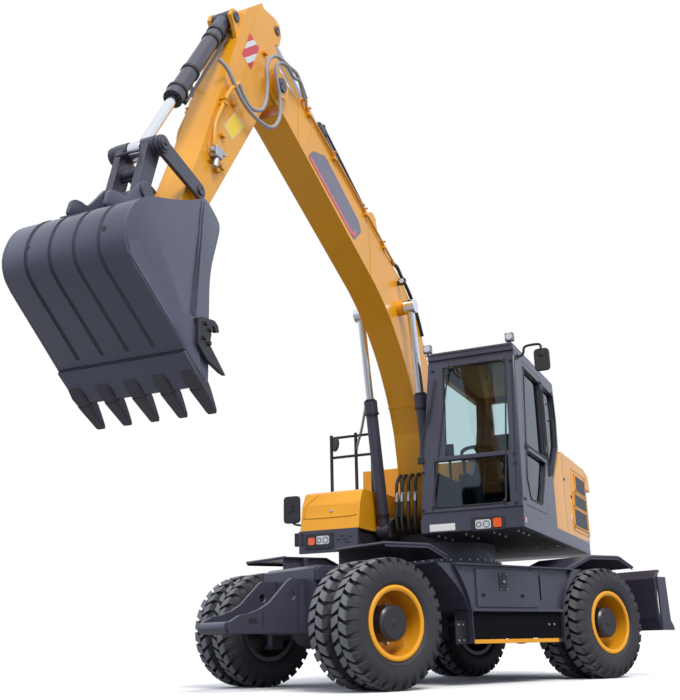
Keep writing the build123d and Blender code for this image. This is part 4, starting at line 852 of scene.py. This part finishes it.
curve = [tuple(p.xz) for p in smooth_line([(x, 0, z) for x, z in OUTER], 5)]
shell = Piece()
sheet(shell, curve, -22, BOOM_Y - BUCKET_HALF_W + 18, BOOM_Y + BUCKET_HALF_W - 18)
side_line = [tuple(p.xz) for p in smooth_line([(x, 0, z) for x, z in SIDE_EDGE], 4)]
for side in (1, -1):
    low, high = sorted((BOOM_Y + side * (BUCKET_HALF_W - 20), BOOM_Y + side * BUCKET_HALF_W))
    shell.slab(curve + side_line[1:][::-1], "y", low, high)
    low, high = sorted((BOOM_Y + side * 126, BOOM_Y + side * 150))
    ear = [(4868, 2932), (4800, 2915), (4768, 2850), (4785, 2785), (4858, 2752), (4948, 2796), (5050, 2862), (5250, 2838), (5382, 2786), (5585, 2722), (5590, 2790), (5562, 2836),
           (5500, 2850), (5440, 2852), (5370, 2925), (5318, 2990), (5275, 3034), (5225, 3028), (5186, 2985), (5150, 2958), (5060, 2962), (4960, 2960)]
    shell.slab([tuple(p.xz) for p in smooth_line([(x, 0, z) for x, z in ear + ear[:1]], 3)][:-1], "y", low, high)
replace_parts(narrow(shell).done("bucket_shell", "bucket", BUCKET_PAINT, "dark_paint", bevel=3, smooth=True), "bucket")

TEETH = [-400, -200, 0, 200, 400]
floor_run = (Vector((5640, 2240)) - Vector((5030, 1783))).normalized()
floor_out = Vector((floor_run.y, -floor_run.x))


def on_floor(run, out=0.0):
    """Point of the side view by its distance from the lip up the floor and out of the floor's face."""
    at = Vector(LIP) + floor_run * run + floor_out * out
    return at.x, at.y


def lofted(piece, sections, y):
    """Solid through cross-sections (run, out, half height, half width, corner) along the floor's line."""
    rings = []
    for run, out, half_h, half_w, corner in sections:
        ring = []
        for sy, sz in ((1, 1), (-1, 1), (-1, -1), (1, -1)):
            for first in (True, False):
                near_y = half_w if first == (sy * sz > 0) else half_w - corner
                near_z = half_h - corner if first == (sy * sz > 0) else half_h
                x, z = on_floor(run, out + sz * near_z)
                ring.append(piece.mesh.verts.new(piece.place @ Vector((x, BOOM_Y + y + sy * near_y, z))))
        rings.append(ring)
    for one, two in zip(rings, rings[1:]):
        for i in range(8):
            j = (i + 1) % 8
            piece.mesh.faces.new((one[i], one[j], two[j], two[i]))
    piece.mesh.faces.new(rings[0][::-1])
    piece.mesh.faces.new(rings[-1])


adapters, teeth, dots = Piece(), Piece(), Piece()
for y in TEETH:
    lofted(adapters, [(150, -6, 6, 34, 3), (118, 0, 22, 46, 8), (60, -6, 42, 50, 14), (-8, -14, 42, 47, 14)], y)
    lofted(teeth, [(-6, -14, 46, 50, 15), (-60, -13, 40, 46, 14), (-130, -8, 27, 40, 12), (-190, -2, 14, 34, 8), (-208, 0, 6, 27, 3)], y)
    x, z = on_floor(30, -14)
    dots.cyl((x, BOOM_Y + y + 40, z), (x, BOOM_Y + y + 50.5, z), 9, sides=10)
adapters.done("bucket_adapters", "bucket", CAST, "dark_paint", smooth=True)
teeth.done("bucket_teeth", "bucket", CAST, "dark_paint", smooth=True)
dots.done("tooth_pins", "bucket", BLACK, "dark_paint")
lip = Piece()
lip.slab([on_floor(248, 1), on_floor(248, 14), on_floor(6, 14), on_floor(-16, -12), on_floor(0, -26), on_floor(248, -26)], "y", BOOM_Y - 446, BOOM_Y + 446)
lip.done("bucket_lip", "bucket", BUCKET_PAINT, "dark_paint", bevel=3)
lines = Piece()
for k, off in enumerate((-267, -89, 89, 267)):
    near = offset_line(curve, 2.0)
    line = [p for p in near[24:] if (Vector(p) - Vector(LIP)).length > 262]
    for p, q in zip(line, line[1:]):
        for side in (-7, 7):
            lines.cyl((p[0], BOOM_Y + off + side, p[1]), (q[0], BOOM_Y + off + side, q[1]), 2.6, sides=6)
x, z = on_floor(252, 3)
lines.cyl((x, BOOM_Y - 440, z), (x, BOOM_Y + 440, z), 4, sides=6)
for side in (1, -1):
    y = BOOM_Y + side * BUCKET_HALF_W
    for dx in (-14, 14):
        lines.cyl((5096 + dx, y, 2905), (5152 + dx, y, 2160), 3.4, sides=6)
    edge = offset_line(curve, -6)
    for p, q in zip(edge[10:], edge[11:]):
        if (Vector(q) - Vector(LIP)).length > 60:
            lines.cyl((p[0], y - side * 19, p[1]), (q[0], y - side * 19, q[1]), 3.4, sides=6)
narrow(lines).done("bucket_lines", "bucket", CAST, "dark_paint")
# painted shade: black discs on the surface stand in for the dark inside the drain holes
holes = Piece()
for off in (-262, 300):
    holes.cyl((5754, BOOM_Y + off, 2478), (5773, BOOM_Y + off, 2482), 16, sides=20)
narrow(holes).done("bucket_drain_holes", "bucket", BLACK, "dark_paint")
plates, cutters = Piece(), Piece()
WEAR = [(5755, 2411), (5644, 2416), (5617, 2367), (5283, 2153), (5170, 2138), (5110, 2060), (5070, 1830), (5335, 2028), (5630, 2250), (5722, 2320)]
for side in (1, -1):
    y = BOOM_Y + side * BUCKET_HALF_W
    plates.slab(WEAR, "y", y - 1, y + side * 4)
    cutters.slab([(5146, 2146), (5114, 2162), (5040, 2172), (4973, 2180), (4935, 2160), (4921, 2122), (4958, 2112), (4975, 2140), (5004, 2138), (5004, 2088), (5018, 2020),
                  (4843, 1879), (4896, 1884), (5040, 1922), (5112, 1970), (5140, 1993)], "y", y, y + side * 24)
    for x, z in ((5068, 2135), (5024, 2108), (5081, 2043), (5034, 2022)):
        cutters.cyl((x, y + side * 24, z), (x, y + side * 38, z), 16, sides=6)
narrow(plates).done("bucket_wear_plates", "bucket", BUCKET_PAINT, "dark_paint", bevel=1.5)
cutters.done("bucket_side_cutters", "bucket", BLACK, "dark_paint", bevel=1.5)
pads = Piece()
for y in (BOOM_Y - 230, BOOM_Y + 175):
    pads.slab([(5380, 2786), (5545, 2732), (5556, 2752), (5400, 2812)], "y", y, y + 60)
pads.done("bucket_pads", "bucket", BUCKET_PAINT, "dark_paint", bevel=5)
pins = Piece()
for (x, z), half, radius in (((4858, 2843), 150, 66), ((5254, 2963), 150, 58)):
    for side in (1, -1):
        pins.cyl((x, BOOM_Y + side * half, z), (x, BOOM_Y + side * (half + 12), z), radius, radius - 5, sides=32)
pins.cyl((5254, BOOM_Y - 70, 2963), (5254, BOOM_Y + 70, 2963), 32, sides=28)
pins.done("bucket_pins", "bucket", DARK, "dark_paint", smooth=True)

# Bucket linkage: grab handle, web plate, pin heads
hose("link_handle", [(5205, BOOM_Y + 60, 3294), (5276, BOOM_Y + 60, 3246), (5292, BOOM_Y + 48, 3236), (5292, BOOM_Y - 48, 3236), (5276, BOOM_Y - 60, 3246), (5205, BOOM_Y - 60, 3294)],
     8, "tipping_link", DARK, sides=8)
web = Piece()
web.slab([(5178, 3170), (5200, 3174), (5216, 3100), (5194, 3094)], "y", BOOM_Y - 72, BOOM_Y + 72)
web.done("link_web", "tipping_link", DARK, "dark_paint", bevel=3)
pins = Piece()
for side in (1, -1):
    pins.cyl((5152, BOOM_Y + side * 195, 3328), (5152, BOOM_Y + side * 206, 3328), 44, 40, sides=28)
    pins.cyl((5152, BOOM_Y + side * 206, 3328), (5152, BOOM_Y + side * 214, 3328), 14, sides=6)
    pins.cyl((5152, BOOM_Y + side * 182.5, 3328), (5152, BOOM_Y + side * 194.5, 3328), 58, sides=28)
pins.done("link_pins", "idler_links", DARK, "dark_paint", smooth=True)

# Cab: window seals, wiper, bolts, roof edge, lamps, handles, door frame

def lean(z):
    return 1244 - 109 * (z - 1431) / 1519


def seal(name, outline, body, look=BLACK, radius=8, at_x=None, at_y=None):
    points = []
    for a, b in outline:
        points.append((lean(b) + 1.5, a, b) if at_y is None else (a, at_y, b))
    points.append(points[0])
    points.append(points[1])
    return hose(name, points, radius, body, look, sides=6, steps=2)


FRONT_WINDOW = [(310, 1530), (990, 1530), (1060, 2870), (500, 2870)]
DOOR_TOP = [(948, 2090), (802, 2862), (165, 2862), (165, 2090)]
DOOR_LOW = [(955, 2040), (1000, 1760), (915, 1590), (470, 1590), (300, 1830), (190, 2040)]
REAR_SIDE = [(35, 2870), (-440, 2870), (-475, 2620), (-435, 2315), (-90, 1950), (35, 1950)]
seal("front_seal", rounded(FRONT_WINDOW, 70, 4), "house")
seal("rear_side_seal", rounded(REAR_SIDE, 40, 3), "house", at_y=1140.5)
seal("door_seal_top", rounded(DOOR_TOP, 40, 3), "door", at_y=1140.5)
seal("door_seal_low", rounded(DOOR_LOW, 40, 3), "door", at_y=1140.5)
front = Piece()
front.box((lean(1960) - 4, 346, 1960), (lean(2000) + 8, 1012, 2000))
front.done("front_window_bar", "house", DARK, "dark_paint", bevel=3)
wiper = Piece()
for (y0, z0), (y1, z1), r in (((206, 1990), (215, 2134), 9), ((215, 2134), (300, 2475), 7), ((286, 2330), (372, 2760), 8)):
    wiper.cyl((lean(z0) + 26, y0, z0), (lean(z1) + 22, y1, z1), r, sides=8)
wiper.box((lean(1990) - 2, 182, 1950), (lean(1990) + 34, 230, 2010))
wiper.done("wiper", "house", BLACK, "black_plastic", bevel=2)
knobs = Piece()
for y, z in ((225, 1961), (222, 1868), (214, 1517), (1092, 1966), (1092, 1876), (1085, 1522), (1104, 2850), (345, 2850)):
    knobs.cyl((lean(z), y, z), (lean(z) + 16, y, z), 15, 12, sides=14)
for x, z in ((1105, 2870), (1150, 1560), (-380, 2880)):
    knobs.cyl((x, 1140, z), (x, 1152, z), 13, 11, sides=12)
knobs.done("cab_bolts", "house", BLACK, "black_plastic")
roof = Piece()
roof.cyl((1146, 330, 3006), (1146, 1120, 3006), 17, sides=16)
roof.slab([(-480, 330), (1120, 330), (1120, 1100), (-480, 1100)], "z", 3010, 3026)
roof.cyl((1100, 1126, 3008), (-440, 1126, 3008), 13, sides=12)
roof.cyl((lean(1560) - 12, 1128, 1560), (lean(2900) - 12, 1128, 2900), 16, sides=12)
roof.done("cab_roof_edges", "house", DARK, "dark_paint", bevel=4, smooth=True)
groove = Piece()
groove.cyl((lean(1620) - 1, 1092, 1620), (lean(2830) - 1, 1112, 2830), 7, sides=8)
groove.done("cab_pillar_groove", "house", BLACK, "black_plastic")

handle = Piece()
handle.box((985, 1141, 2040), (905, 1146, 2076)).cyl((978, 1150, 2058), (912, 1150, 2058), 8, sides=10)
handle.box((110, 1141, 2090), (122, 1148, 2900))
handle.box((60, 1141, 1920), (72, 1148, 2890))
handle.done("door_handle", "door", BLACK, "black_plastic", bevel=2)
grab = Piece()
grab.cyl((-60, 1176, 2690), (-90, 1176, 2520), 9, sides=10)
for x, z in ((-60, 2690), (-90, 2520)):
    grab.cyl((x, 1140, z), (x, 1180, z), 8, sides=10)
grab.done("cab_grab_handle", "house", BLACK, "black_plastic", smooth=True)

for y, name in ((300, "right"), (1112, "left")):
    shell = Piece()
    shell.box((1104, y - 40, 3036), (1160, y + 40, 3116)).cyl((1125, y, 3000), (1125, y, 3040), 12, sides=12)
    shell.box((1110, y - 22, 3006), (1142, y + 22, 3020))
    piece = shell.done(f"work_lamp_{name}", "house", GREY, "black_plastic", bevel=10)
    Piece().cyl((1160, y, 3076), (1166, y, 3076), 34, 32, sides=28).done(f"work_lamp_lens_{name}", "house", WHITE, "lamp_plastic")
surround, clear, orange = Piece(), Piece(), Piece()


def on_front(piece, y0, y1, z0, z1, radius, x0, x1):
    """Plate with rounded corners on a face that looks forward."""
    piece.slab(rounded([(y0, z0), (y1, z0), (y1, z1), (y0, z1)], radius), "x", x0, x1)


on_front(surround, 670, 968, 1296, 1418, 16, 1244.5, 1258)
on_front(surround, -1068, -770, 1252, 1400, 16, 1090.5, 1104)
on_front(clear, 704, 847, 1312, 1392, 22, 1258, 1263)
on_front(orange, 867, 942, 1318, 1398, 18, 1258, 1263)
on_front(clear, -943, -806, 1292, 1372, 22, 1104, 1109)
on_front(orange, -1032, -961, 1290, 1360, 18, 1104, 1109)
for y, z, x in ((775, 1352, 1263), (-875, 1332, 1109)):
    for dy, r in ((-38, 24), (32, 30)):
        surround.lathe([(0, r), (3, r), (3, r - 5), (0, r - 5), (0, r)], (x, y + dy, z), "x", 28)
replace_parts(surround.done("lamp_pods", "house", BLACK, "black_plastic"), "lamps")
clear.done("lamp_lenses_white", "house", WHITE, "lamp_plastic")
orange.done("lamp_lenses_orange", "house", ORANGE, "lamp_plastic")
blank = Piece()
blank.slab([(271, 1319), (512, 1319), (512, 1382), (271, 1382)], "x", 1244, 1246)
blank.box((-905, 1140, 1600), (-865, 1142, 1660)).box((-965, 1140, 1580), (-925, 1142, 1650))
blank.box((1150, 1140, 1350), (1185, 1142, 1395))
blank.done("blank_plates", "house", PLATE, "lamp_plastic")
Piece().box((1195, 1140, 1372), (1225, 1142, 1408)).done("side_reflector", "house", RED, "lamp_plastic")
# painted shade: thin black sheets on the face stand in for the dark inside the slots
slots = Piece()
for y, z, w in ((-708, 1329, 46), (-640, 1329, 60), (-673, 1362, 44), (-590, 1352, 46), (-620, 1300, 60)):
    slots.slab(rounded([(y - w / 2, z - 7), (y + w / 2, z - 7), (y + w / 2, z + 7), (y - w / 2, z + 7)], 6), "x", 1090, 1091.5)
slots.box((-1010, 1140, 1560), (-975, 1143, 1640))
slots.done("small_slots", "house", BLACK, "black_plastic")

# Mirrors and their bent arms
mirror = Piece()
on_front(mirror, 1296, 1440, 2750, 2965, 42, 978, 1012)
on_front(mirror, -1355, -1175, 1530, 1800, 42, 978, 1012)
mirror.box((1010, 1345, 2890), (1024, 1390, 2960)).box((1010, -1290, 1640), (1026, -1250, 1720))
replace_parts(mirror.done("mirror_heads", "house", BLACK, "black_plastic", bevel=9), "mirrors")
shine = Piece()
on_front(shine, 1306, 1430, 2760, 2955, 36, 974.5, 978.5)
on_front(shine, -1344, -1186, 1541, 1789, 36, 974.5, 978.5)
shine.done("mirror_glass", "house", MIRROR_GLASS, "rod_chrome")
hose("mirror_arm_left", [(1000, 1140, 2917), (1000, 1178, 2922), (1000, 1200, 2950), (1000, 1208, 2990), (1000, 1236, 3010), (1000, 1330, 3013), (1004, 1366, 2996), (1016, 1368, 2950)], 12, "house", BLACK)
hose("mirror_arm_right", [(995, -1138, 1500), (995, -1190, 1508), (995, -1240, 1522), (1000, -1270, 1560)], 11, "house", BLACK)
feet = Piece()
feet.box((980, -1146, 1480), (1012, -1140, 1520)).box((984, 1140, 2892), (1016, 1147, 2942))
feet.box((1050, -1190, 1290), (1092, -1140, 1418)).box((1050, -1120, 1290), (1094, -1090, 1418))
bolts(feet, [(1093, -1168, 1312), (1093, -1168, 1396), (1094, -1105, 1312), (1094, -1105, 1396)], (1, 0, 0), 8)
feet.done("mirror_feet", "house", BLACK, "black_plastic", bevel=3)

# Right-hand body: pressed panel, lock, round mirror and hoop rail
edge = [(-983, 1800), (-1098, 1690), (-1100, 1590), (-1070, 1560), (-590, 1560), (-556, 1592), (-556, 1700), (-640, 1800)]


def slope_x(z):
    """Front face of the right-hand body at a height."""
    return 1060 - 50 * (z - 1431) / 254 if z < 1685 else 1010 - 65 * (z - 1685) / 115


hose("box_panel_edge", [(slope_x(z) + 1, y, z) for y, z in edge[:7]], 7, "house", YELLOW, sides=8, steps=5)
Piece().cyl((slope_x(1618), -812, 1618), (slope_x(1618) + 8, -812, 1620), 14, sides=20).done("box_lock", "house", STEEL, "rod_chrome")
hose("hoop_rail", [(600, -720, 2160), (600, -712, 2300), (600, -650, 2500), (600, -604, 2700), (600, -580, 2762), (600, -560, 2770), (600, -546, 2700), (600, -540, 2440)], 14, "house", SLEEVE)
mirror = Piece()
mirror.cyl((636, -931, 2365), (649, -941, 2365), 78, sides=36).cyl((622, -922, 2365), (638, -933, 2365), 16, sides=12)
mirror.cyl((600, -1000, 2365), (624, -940, 2365), 8, sides=10)
mirror.done("round_mirror", "house", BLACK, "black_plastic", bevel=4, smooth=True)

# Four hoses from the deck to pipes on the boom's front, with steel ends
for k, y in enumerate((-276, -220, -150, -79)):
    hose(f"foot_hose_{k}", [(560, y, 1396), (640, y, 1440), (655, y, 1560), (630, y, 1700), (622, y, 1850), (600, y, 1915), (520, y, 1985), (470, y, 1994)],
         17, None, HOSE, bend=("house", "boom", (640, -160, 1850), (500, -160, 1990)))
    ends = Piece()
    ends.cyl((632, y, 1705), (624, y, 1775), 20, sides=12).cyl((624, y, 1775), (622, y, 1800), 22, sides=6)
    ends.done(f"foot_hose_end_{k}", "house", STEEL, "rod_chrome")

# Hood: louvre frames, door seams and latches, rear lamps
GRILLES = [(1960, 2120, -1800, -1250), (1780, 1900, -1800, -1120), (1560, 1730, -1760, -1050)]
for side, side_name in ((1, "left"), (-1, "right")):
    y = side * 1142
    for k, (z0, z1, x0, x1) in enumerate(GRILLES):
        outline = rounded([(x0 - 14, z0 - 14), (x1 + 14, z0 - 14), (x1 + 14, z1 + 14), (x0 - 14, z1 + 14)], 30, 3)
        points = [(a, y, b) for a, b in outline]
        hose(f"grille_frame_{side_name}_{k}", points + points[:2], 11, "house", YELLOW, sides=8, steps=2)
    outline = rounded([(-1860, 1500), (-980, 1500), (-1090, 2180), (-1860, 2180)], 60, 3)
    points = [(a, side * 1140, b) for a, b in outline]
    hose(f"hood_door_edge_{side_name}", points + points[:2], 7, "house", YELLOW, sides=6, steps=2)
    latch = Piece()
    low, high = sorted((side * 1140, side * 1146))
    latch.box((-1010, low, 1840), (-960, high, 1870)).box((-700, low, 1990), (-650, high, 2016))
    latch.done(f"hood_latches_{side_name}", "house", BLACK, "black_plastic", bevel=2)
seams = Piece()
for x in (-640, -1900):
    seams.box((x - 2, 1140, 1440), (x + 2, 1141, 2250)).box((x - 2, -1141, 1440), (x + 2, -1140, 2250))
for y in (-480, 480):
    seams.box((-1870, y - 2, 2290), (-620, y + 2, 2291))
seams.done("hood_seams", "house", BLACK, "black_plastic")
for side, side_name in ((1, "left"), (-1, "right")):
    tail = Piece()
    tail.box((-2198, side * 800 - 90, 1560), (-2180, side * 800 + 90, 1640))
    tail.done(f"tail_lamp_{side_name}", "house", RED, "lamp_plastic", bevel=5)
# painted shade: black bars stand in for the dark inside the counterweight's slots
rows = Piece()
for z in (1500, 1540, 1580):
    rows.box((-2262, -260, z), (-2246, 260, z + 14))
rows.done("counterweight_slots", "house", BLACK, "black_plastic")

# Cab interior: padded seat, consoles, levers, screen
FLOOR = 1491.0
base = Piece()
base.box((230, 560, FLOOR), (500, 780, FLOOR + 40)).box((250, 575, FLOOR + 40), (480, 765, FLOOR + 200))
for z in (1560, 1590, 1620, 1650):
    base.box((240, 565, z), (490, 775, z + 14))
base.done("seat_base", "house", BLACK, "black_plastic", bevel=8)
cushion = Piece()
cushion.box((130, 480, 1711), (615, 880, 1826))
cushion = cushion.done("seat_cushion", "house", FABRIC, "seat_fabric", bevel=45, smooth=True)
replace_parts(cushion, "cab_seat")
back = Piece()
back.slab([(60, 1800), (165, 1800), (62, 2300), (-40, 2300)], "y", 490, 870)
back.done("seat_back", "house", FABRIC, "seat_fabric", bevel=40, smooth=True)
head = Piece()
head.slab([(-38, 2290), (50, 2290), (24, 2416), (-58, 2416)], "y", 570, 790)
head.done("seat_headrest", "house", FABRIC, "seat_fabric", bevel=30, smooth=True)
desk = Piece()
desk.box((150, 385, 1500), (620, 465, 1906)).box((150, 895, 1500), (620, 975, 1906))
desk.box((300, 380, 1906), (620, 470, 1930)).box((300, 890, 1906), (620, 980, 1930))
desk.cyl((560, 425, 1930), (580, 425, 2060), 14, 20, sides=14).cyl((560, 935, 1930), (580, 935, 2060), 14, 20, sides=14)
desk.ball((582, 425, 2076), 27).ball((582, 935, 2076), 27)
desk.box((820, 560, 1500), (1000, 620, 1530)).box((820, 720, 1500), (1000, 780, 1530))
desk.box((1010, 380, 2010), (1034, 470, 2150))
desk.cyl((1020, 425, 1500), (1020, 425, 2010), 14, sides=12)
desk.done("cab_desk", "house", BLACK, "black_plastic", bevel=6, smooth=True)
screen = Piece()
screen.box((1006, 388, 2020), (1010, 462, 2140))
screen.done("cab_screen", "house", GREY, "black_plastic")
lining = Piece()
lining.box((-420, 330, 2930), (1060, 1070, 2948)).box((-100, 330, 1500), (-60, 1070, 1900))
lining.done("cab_lining", "house", BEIGE, "seat_fabric", bevel=3)

# Undercarriage: tool box doors, latches, bolts, yellow step, ring bolts, bracket plates
for side, side_name in ((1, "left"), (-1, "right")):
    face = side * 1094
    low, high = sorted((face, face + side * 7))
    latch = Piece(ROW)
    latch.box((336, low, 800), (436, high, 952))
    for x in (134, 650):
        latch.cyl((x, face, 757), (x, face + side * 22, 757), 15, 12, sides=14)
    low, high = sorted((side * 1080, side * 1083))
    # painted shade: a flat near-black panel and slot on the box face stand in for the shadowed opening under the tool
    # box; there is no depth behind them
    recess_shade = Piece(ROW)
    recess_shade.box((-396, low, 386), (814, high, 612)).box((-145, low, 725), (-127, high, 950))
    recess_shade.done(f"box_recess_{side_name}", "chassis", PAINTED_SHADE, "black_plastic", bevel=1)
    latch.box((-14, low, 650), (-9, high, 1005))
    low, high = sorted((side * 1030, side * 1036))
    latch.box((828, low, 345), (960, high, 540))
    latch.done(f"box_latch_{side_name}", "chassis", BLACK, "black_plastic", bevel=2)
    heads = Piece(ROW)
    for x in (346, 426):
        for z in (810, 942):
            heads.cyl((x, face + side * 7, z), (x, face + side * 11, z), 6, sides=8)
    heads.cyl((386, face + side * 7, 876), (386, face + side * 20, 876), 15, 12, sides=16)
    for x, z in ((872, 505), (930, 505), (872, 375), (930, 375)):
        heads.cyl((x, side * 1036, z), (x, side * 1046, z), 10, sides=8)
    for x, z in ((-215, 505), (-290, 505)):
        heads.cyl((x, side * 1083, z), (x, side * 1092, z), 10, sides=8)
    heads.done(f"box_screws_{side_name}", "chassis", STEEL, "rod_chrome")
    low, high = sorted((side * 1080, side * 1083))
    step = Piece(ROW)
    step.box((-345, low, 346), (821, high, 381))
    step.done(f"step_edge_{side_name}", "chassis", YELLOW, "yellow_paint")
    flange = Piece(ROW)
    low, high = sorted((side * 1060, side * 1120))
    arch = [(1010, 1015), (975, 960), (935, 900), (898, 838), (870, 780), (850, 728), (835, 680), (822, 600), (820, 346)]
    sheet(flange, arch, 8, low, high)
    sheet(flange, [(418 - x, z) for x, z in arch], -8, low, high)
    flange.box((-402, low, 616), (820, high, 640))
    low, high = sorted((side * 1060, side * 1130))
    flange.box((-592, low, 1010), (1010, high, 1024))
    flange.done(f"box_flanges_{side_name}", "chassis", DARK, "dark_paint", bevel=2)
    # fenders: rolled lip, turned-down edge, inner plate down to the frame
    for end, line, foot in (("front", [(1746, 1170), (1254, 1178), (1032, 1090)], 980),
                            ("rear", [(-617, 1038), (-982, 1168), (-1448, 1178), (-1672, 1082)], 960)):
        lip_line = [(line[0][0], side * 395, line[0][1] - 6), (line[0][0], side * 1000, line[0][1] - 6), (line[0][0], side * 1036, line[0][1] - 6)]
        for (x0, z0), (x1, z1) in zip(line, line[1:]):
            lip_line += [(x0 + (x1 - x0) * t, side * 1050, z0 + (z1 - z0) * t - 6) for t in (0.08, 0.35, 0.65, 0.92)]
        lip_line += [(line[-1][0], side * 1036, line[-1][1] - 6), (line[-1][0], side * 1000, line[-1][1] - 6), (line[-1][0], side * 395, line[-1][1] - 6)]
        hose(f"fender_lip_{end}_{side_name}", lip_line, 13, "chassis", DARK, place=ROW, steps=3)
        guard = Piece(ROW)
        low, high = sorted((side * 1046, side * 1052))
        guard.slab(line + [(x, z - 36) for x, z in line[::-1]], "y", low, high)
        low, high = sorted((side * 425, side * 431))
        guard.slab(line + [(line[-1][0], foot), (line[0][0], foot)], "y", low, high)
        guard.done(f"fender_guard_{end}_{side_name}", "chassis", DARK, "dark_paint")
ring = Piece(ROW)
for k in range(36):
    angle = 2 * math.pi * k / 36
    ring.cyl((532 * math.cos(angle), 532 * math.sin(angle), 1120), (532 * math.cos(angle), 532 * math.sin(angle), 1136), 13, sides=6)
ring.done("ring_bolts", "chassis", STEEL, "rod_chrome")
under = Piece()
for x in (-900, -500, 700, 900, 1080):
    for y in (-900, 300, 560, 820, 1040):
        if math.hypot(x, y) > 640 and not (x > 1040 and y < 0):
            under.cyl((x, y, 1300.5), (x, y, 1286), 11, sides=6)
under.done("deck_bolts", "house", STEEL, "rod_chrome")
bracket = Piece(ROW)
for side in (1, -1):
    y = side * 240
    for x in (2060, 2420):
        bracket.cyl((x, y + side, 500), (x, y + side, 640 if x > 2300 else 880), 5, sides=6)
    low, high = sorted((y, y + side * 2))
    bracket.box((2480, low, 545), (2560, high, 585))
bracket.done("bracket_welds", "chassis", BLACK, "dark_paint")
edge = Piece(ROW)
edge.box((-1955, -1178, 1020), (-1925, 1178, 1050)).box((-1930, -1178, 440), (-1918, 1178, 500))
edge.done("blade_edges", "blade", CAST, "dark_paint", bevel=3)

# Floor
floor_mesh = bmesh.new()
bmesh.ops.create_circle(floor_mesh, cap_ends=True, segments=96, radius=60.0)
floor_data = bpy.data.meshes.new("floor")
floor_mesh.to_mesh(floor_data)
floor_mesh.free()
floor = bpy.data.objects.new("floor", floor_data)
bpy.context.scene.collection.objects.link(floor)
floor_look, nod, link = new_material("floor_look")
seen, bounced = nod.new("ShaderNodeBsdfDiffuse"), nod.new("ShaderNodeBsdfDiffuse")
seen.inputs["Color"].default_value = (0.88, 0.88, 0.88, 1)
bounced.inputs["Color"].default_value = (0.30, 0.30, 0.30, 1)
rays = nod.new("ShaderNodeLightPath")
direct = nod.new("ShaderNodeMath")
direct.operation = "MAXIMUM"
link.new(rays.outputs["Is Camera Ray"], direct.inputs[0])
link.new(rays.outputs["Is Transmission Ray"], direct.inputs[1])
mix = nod.new("ShaderNodeMixShader")
link.new(direct.outputs[0], mix.inputs["Fac"])
link.new(bounced.outputs["BSDF"], mix.inputs[1])
link.new(seen.outputs["BSDF"], mix.inputs[2])
link.new(mix.outputs["Shader"], nod["Material Output"].inputs["Surface"])
floor_data.materials.append(floor_look)
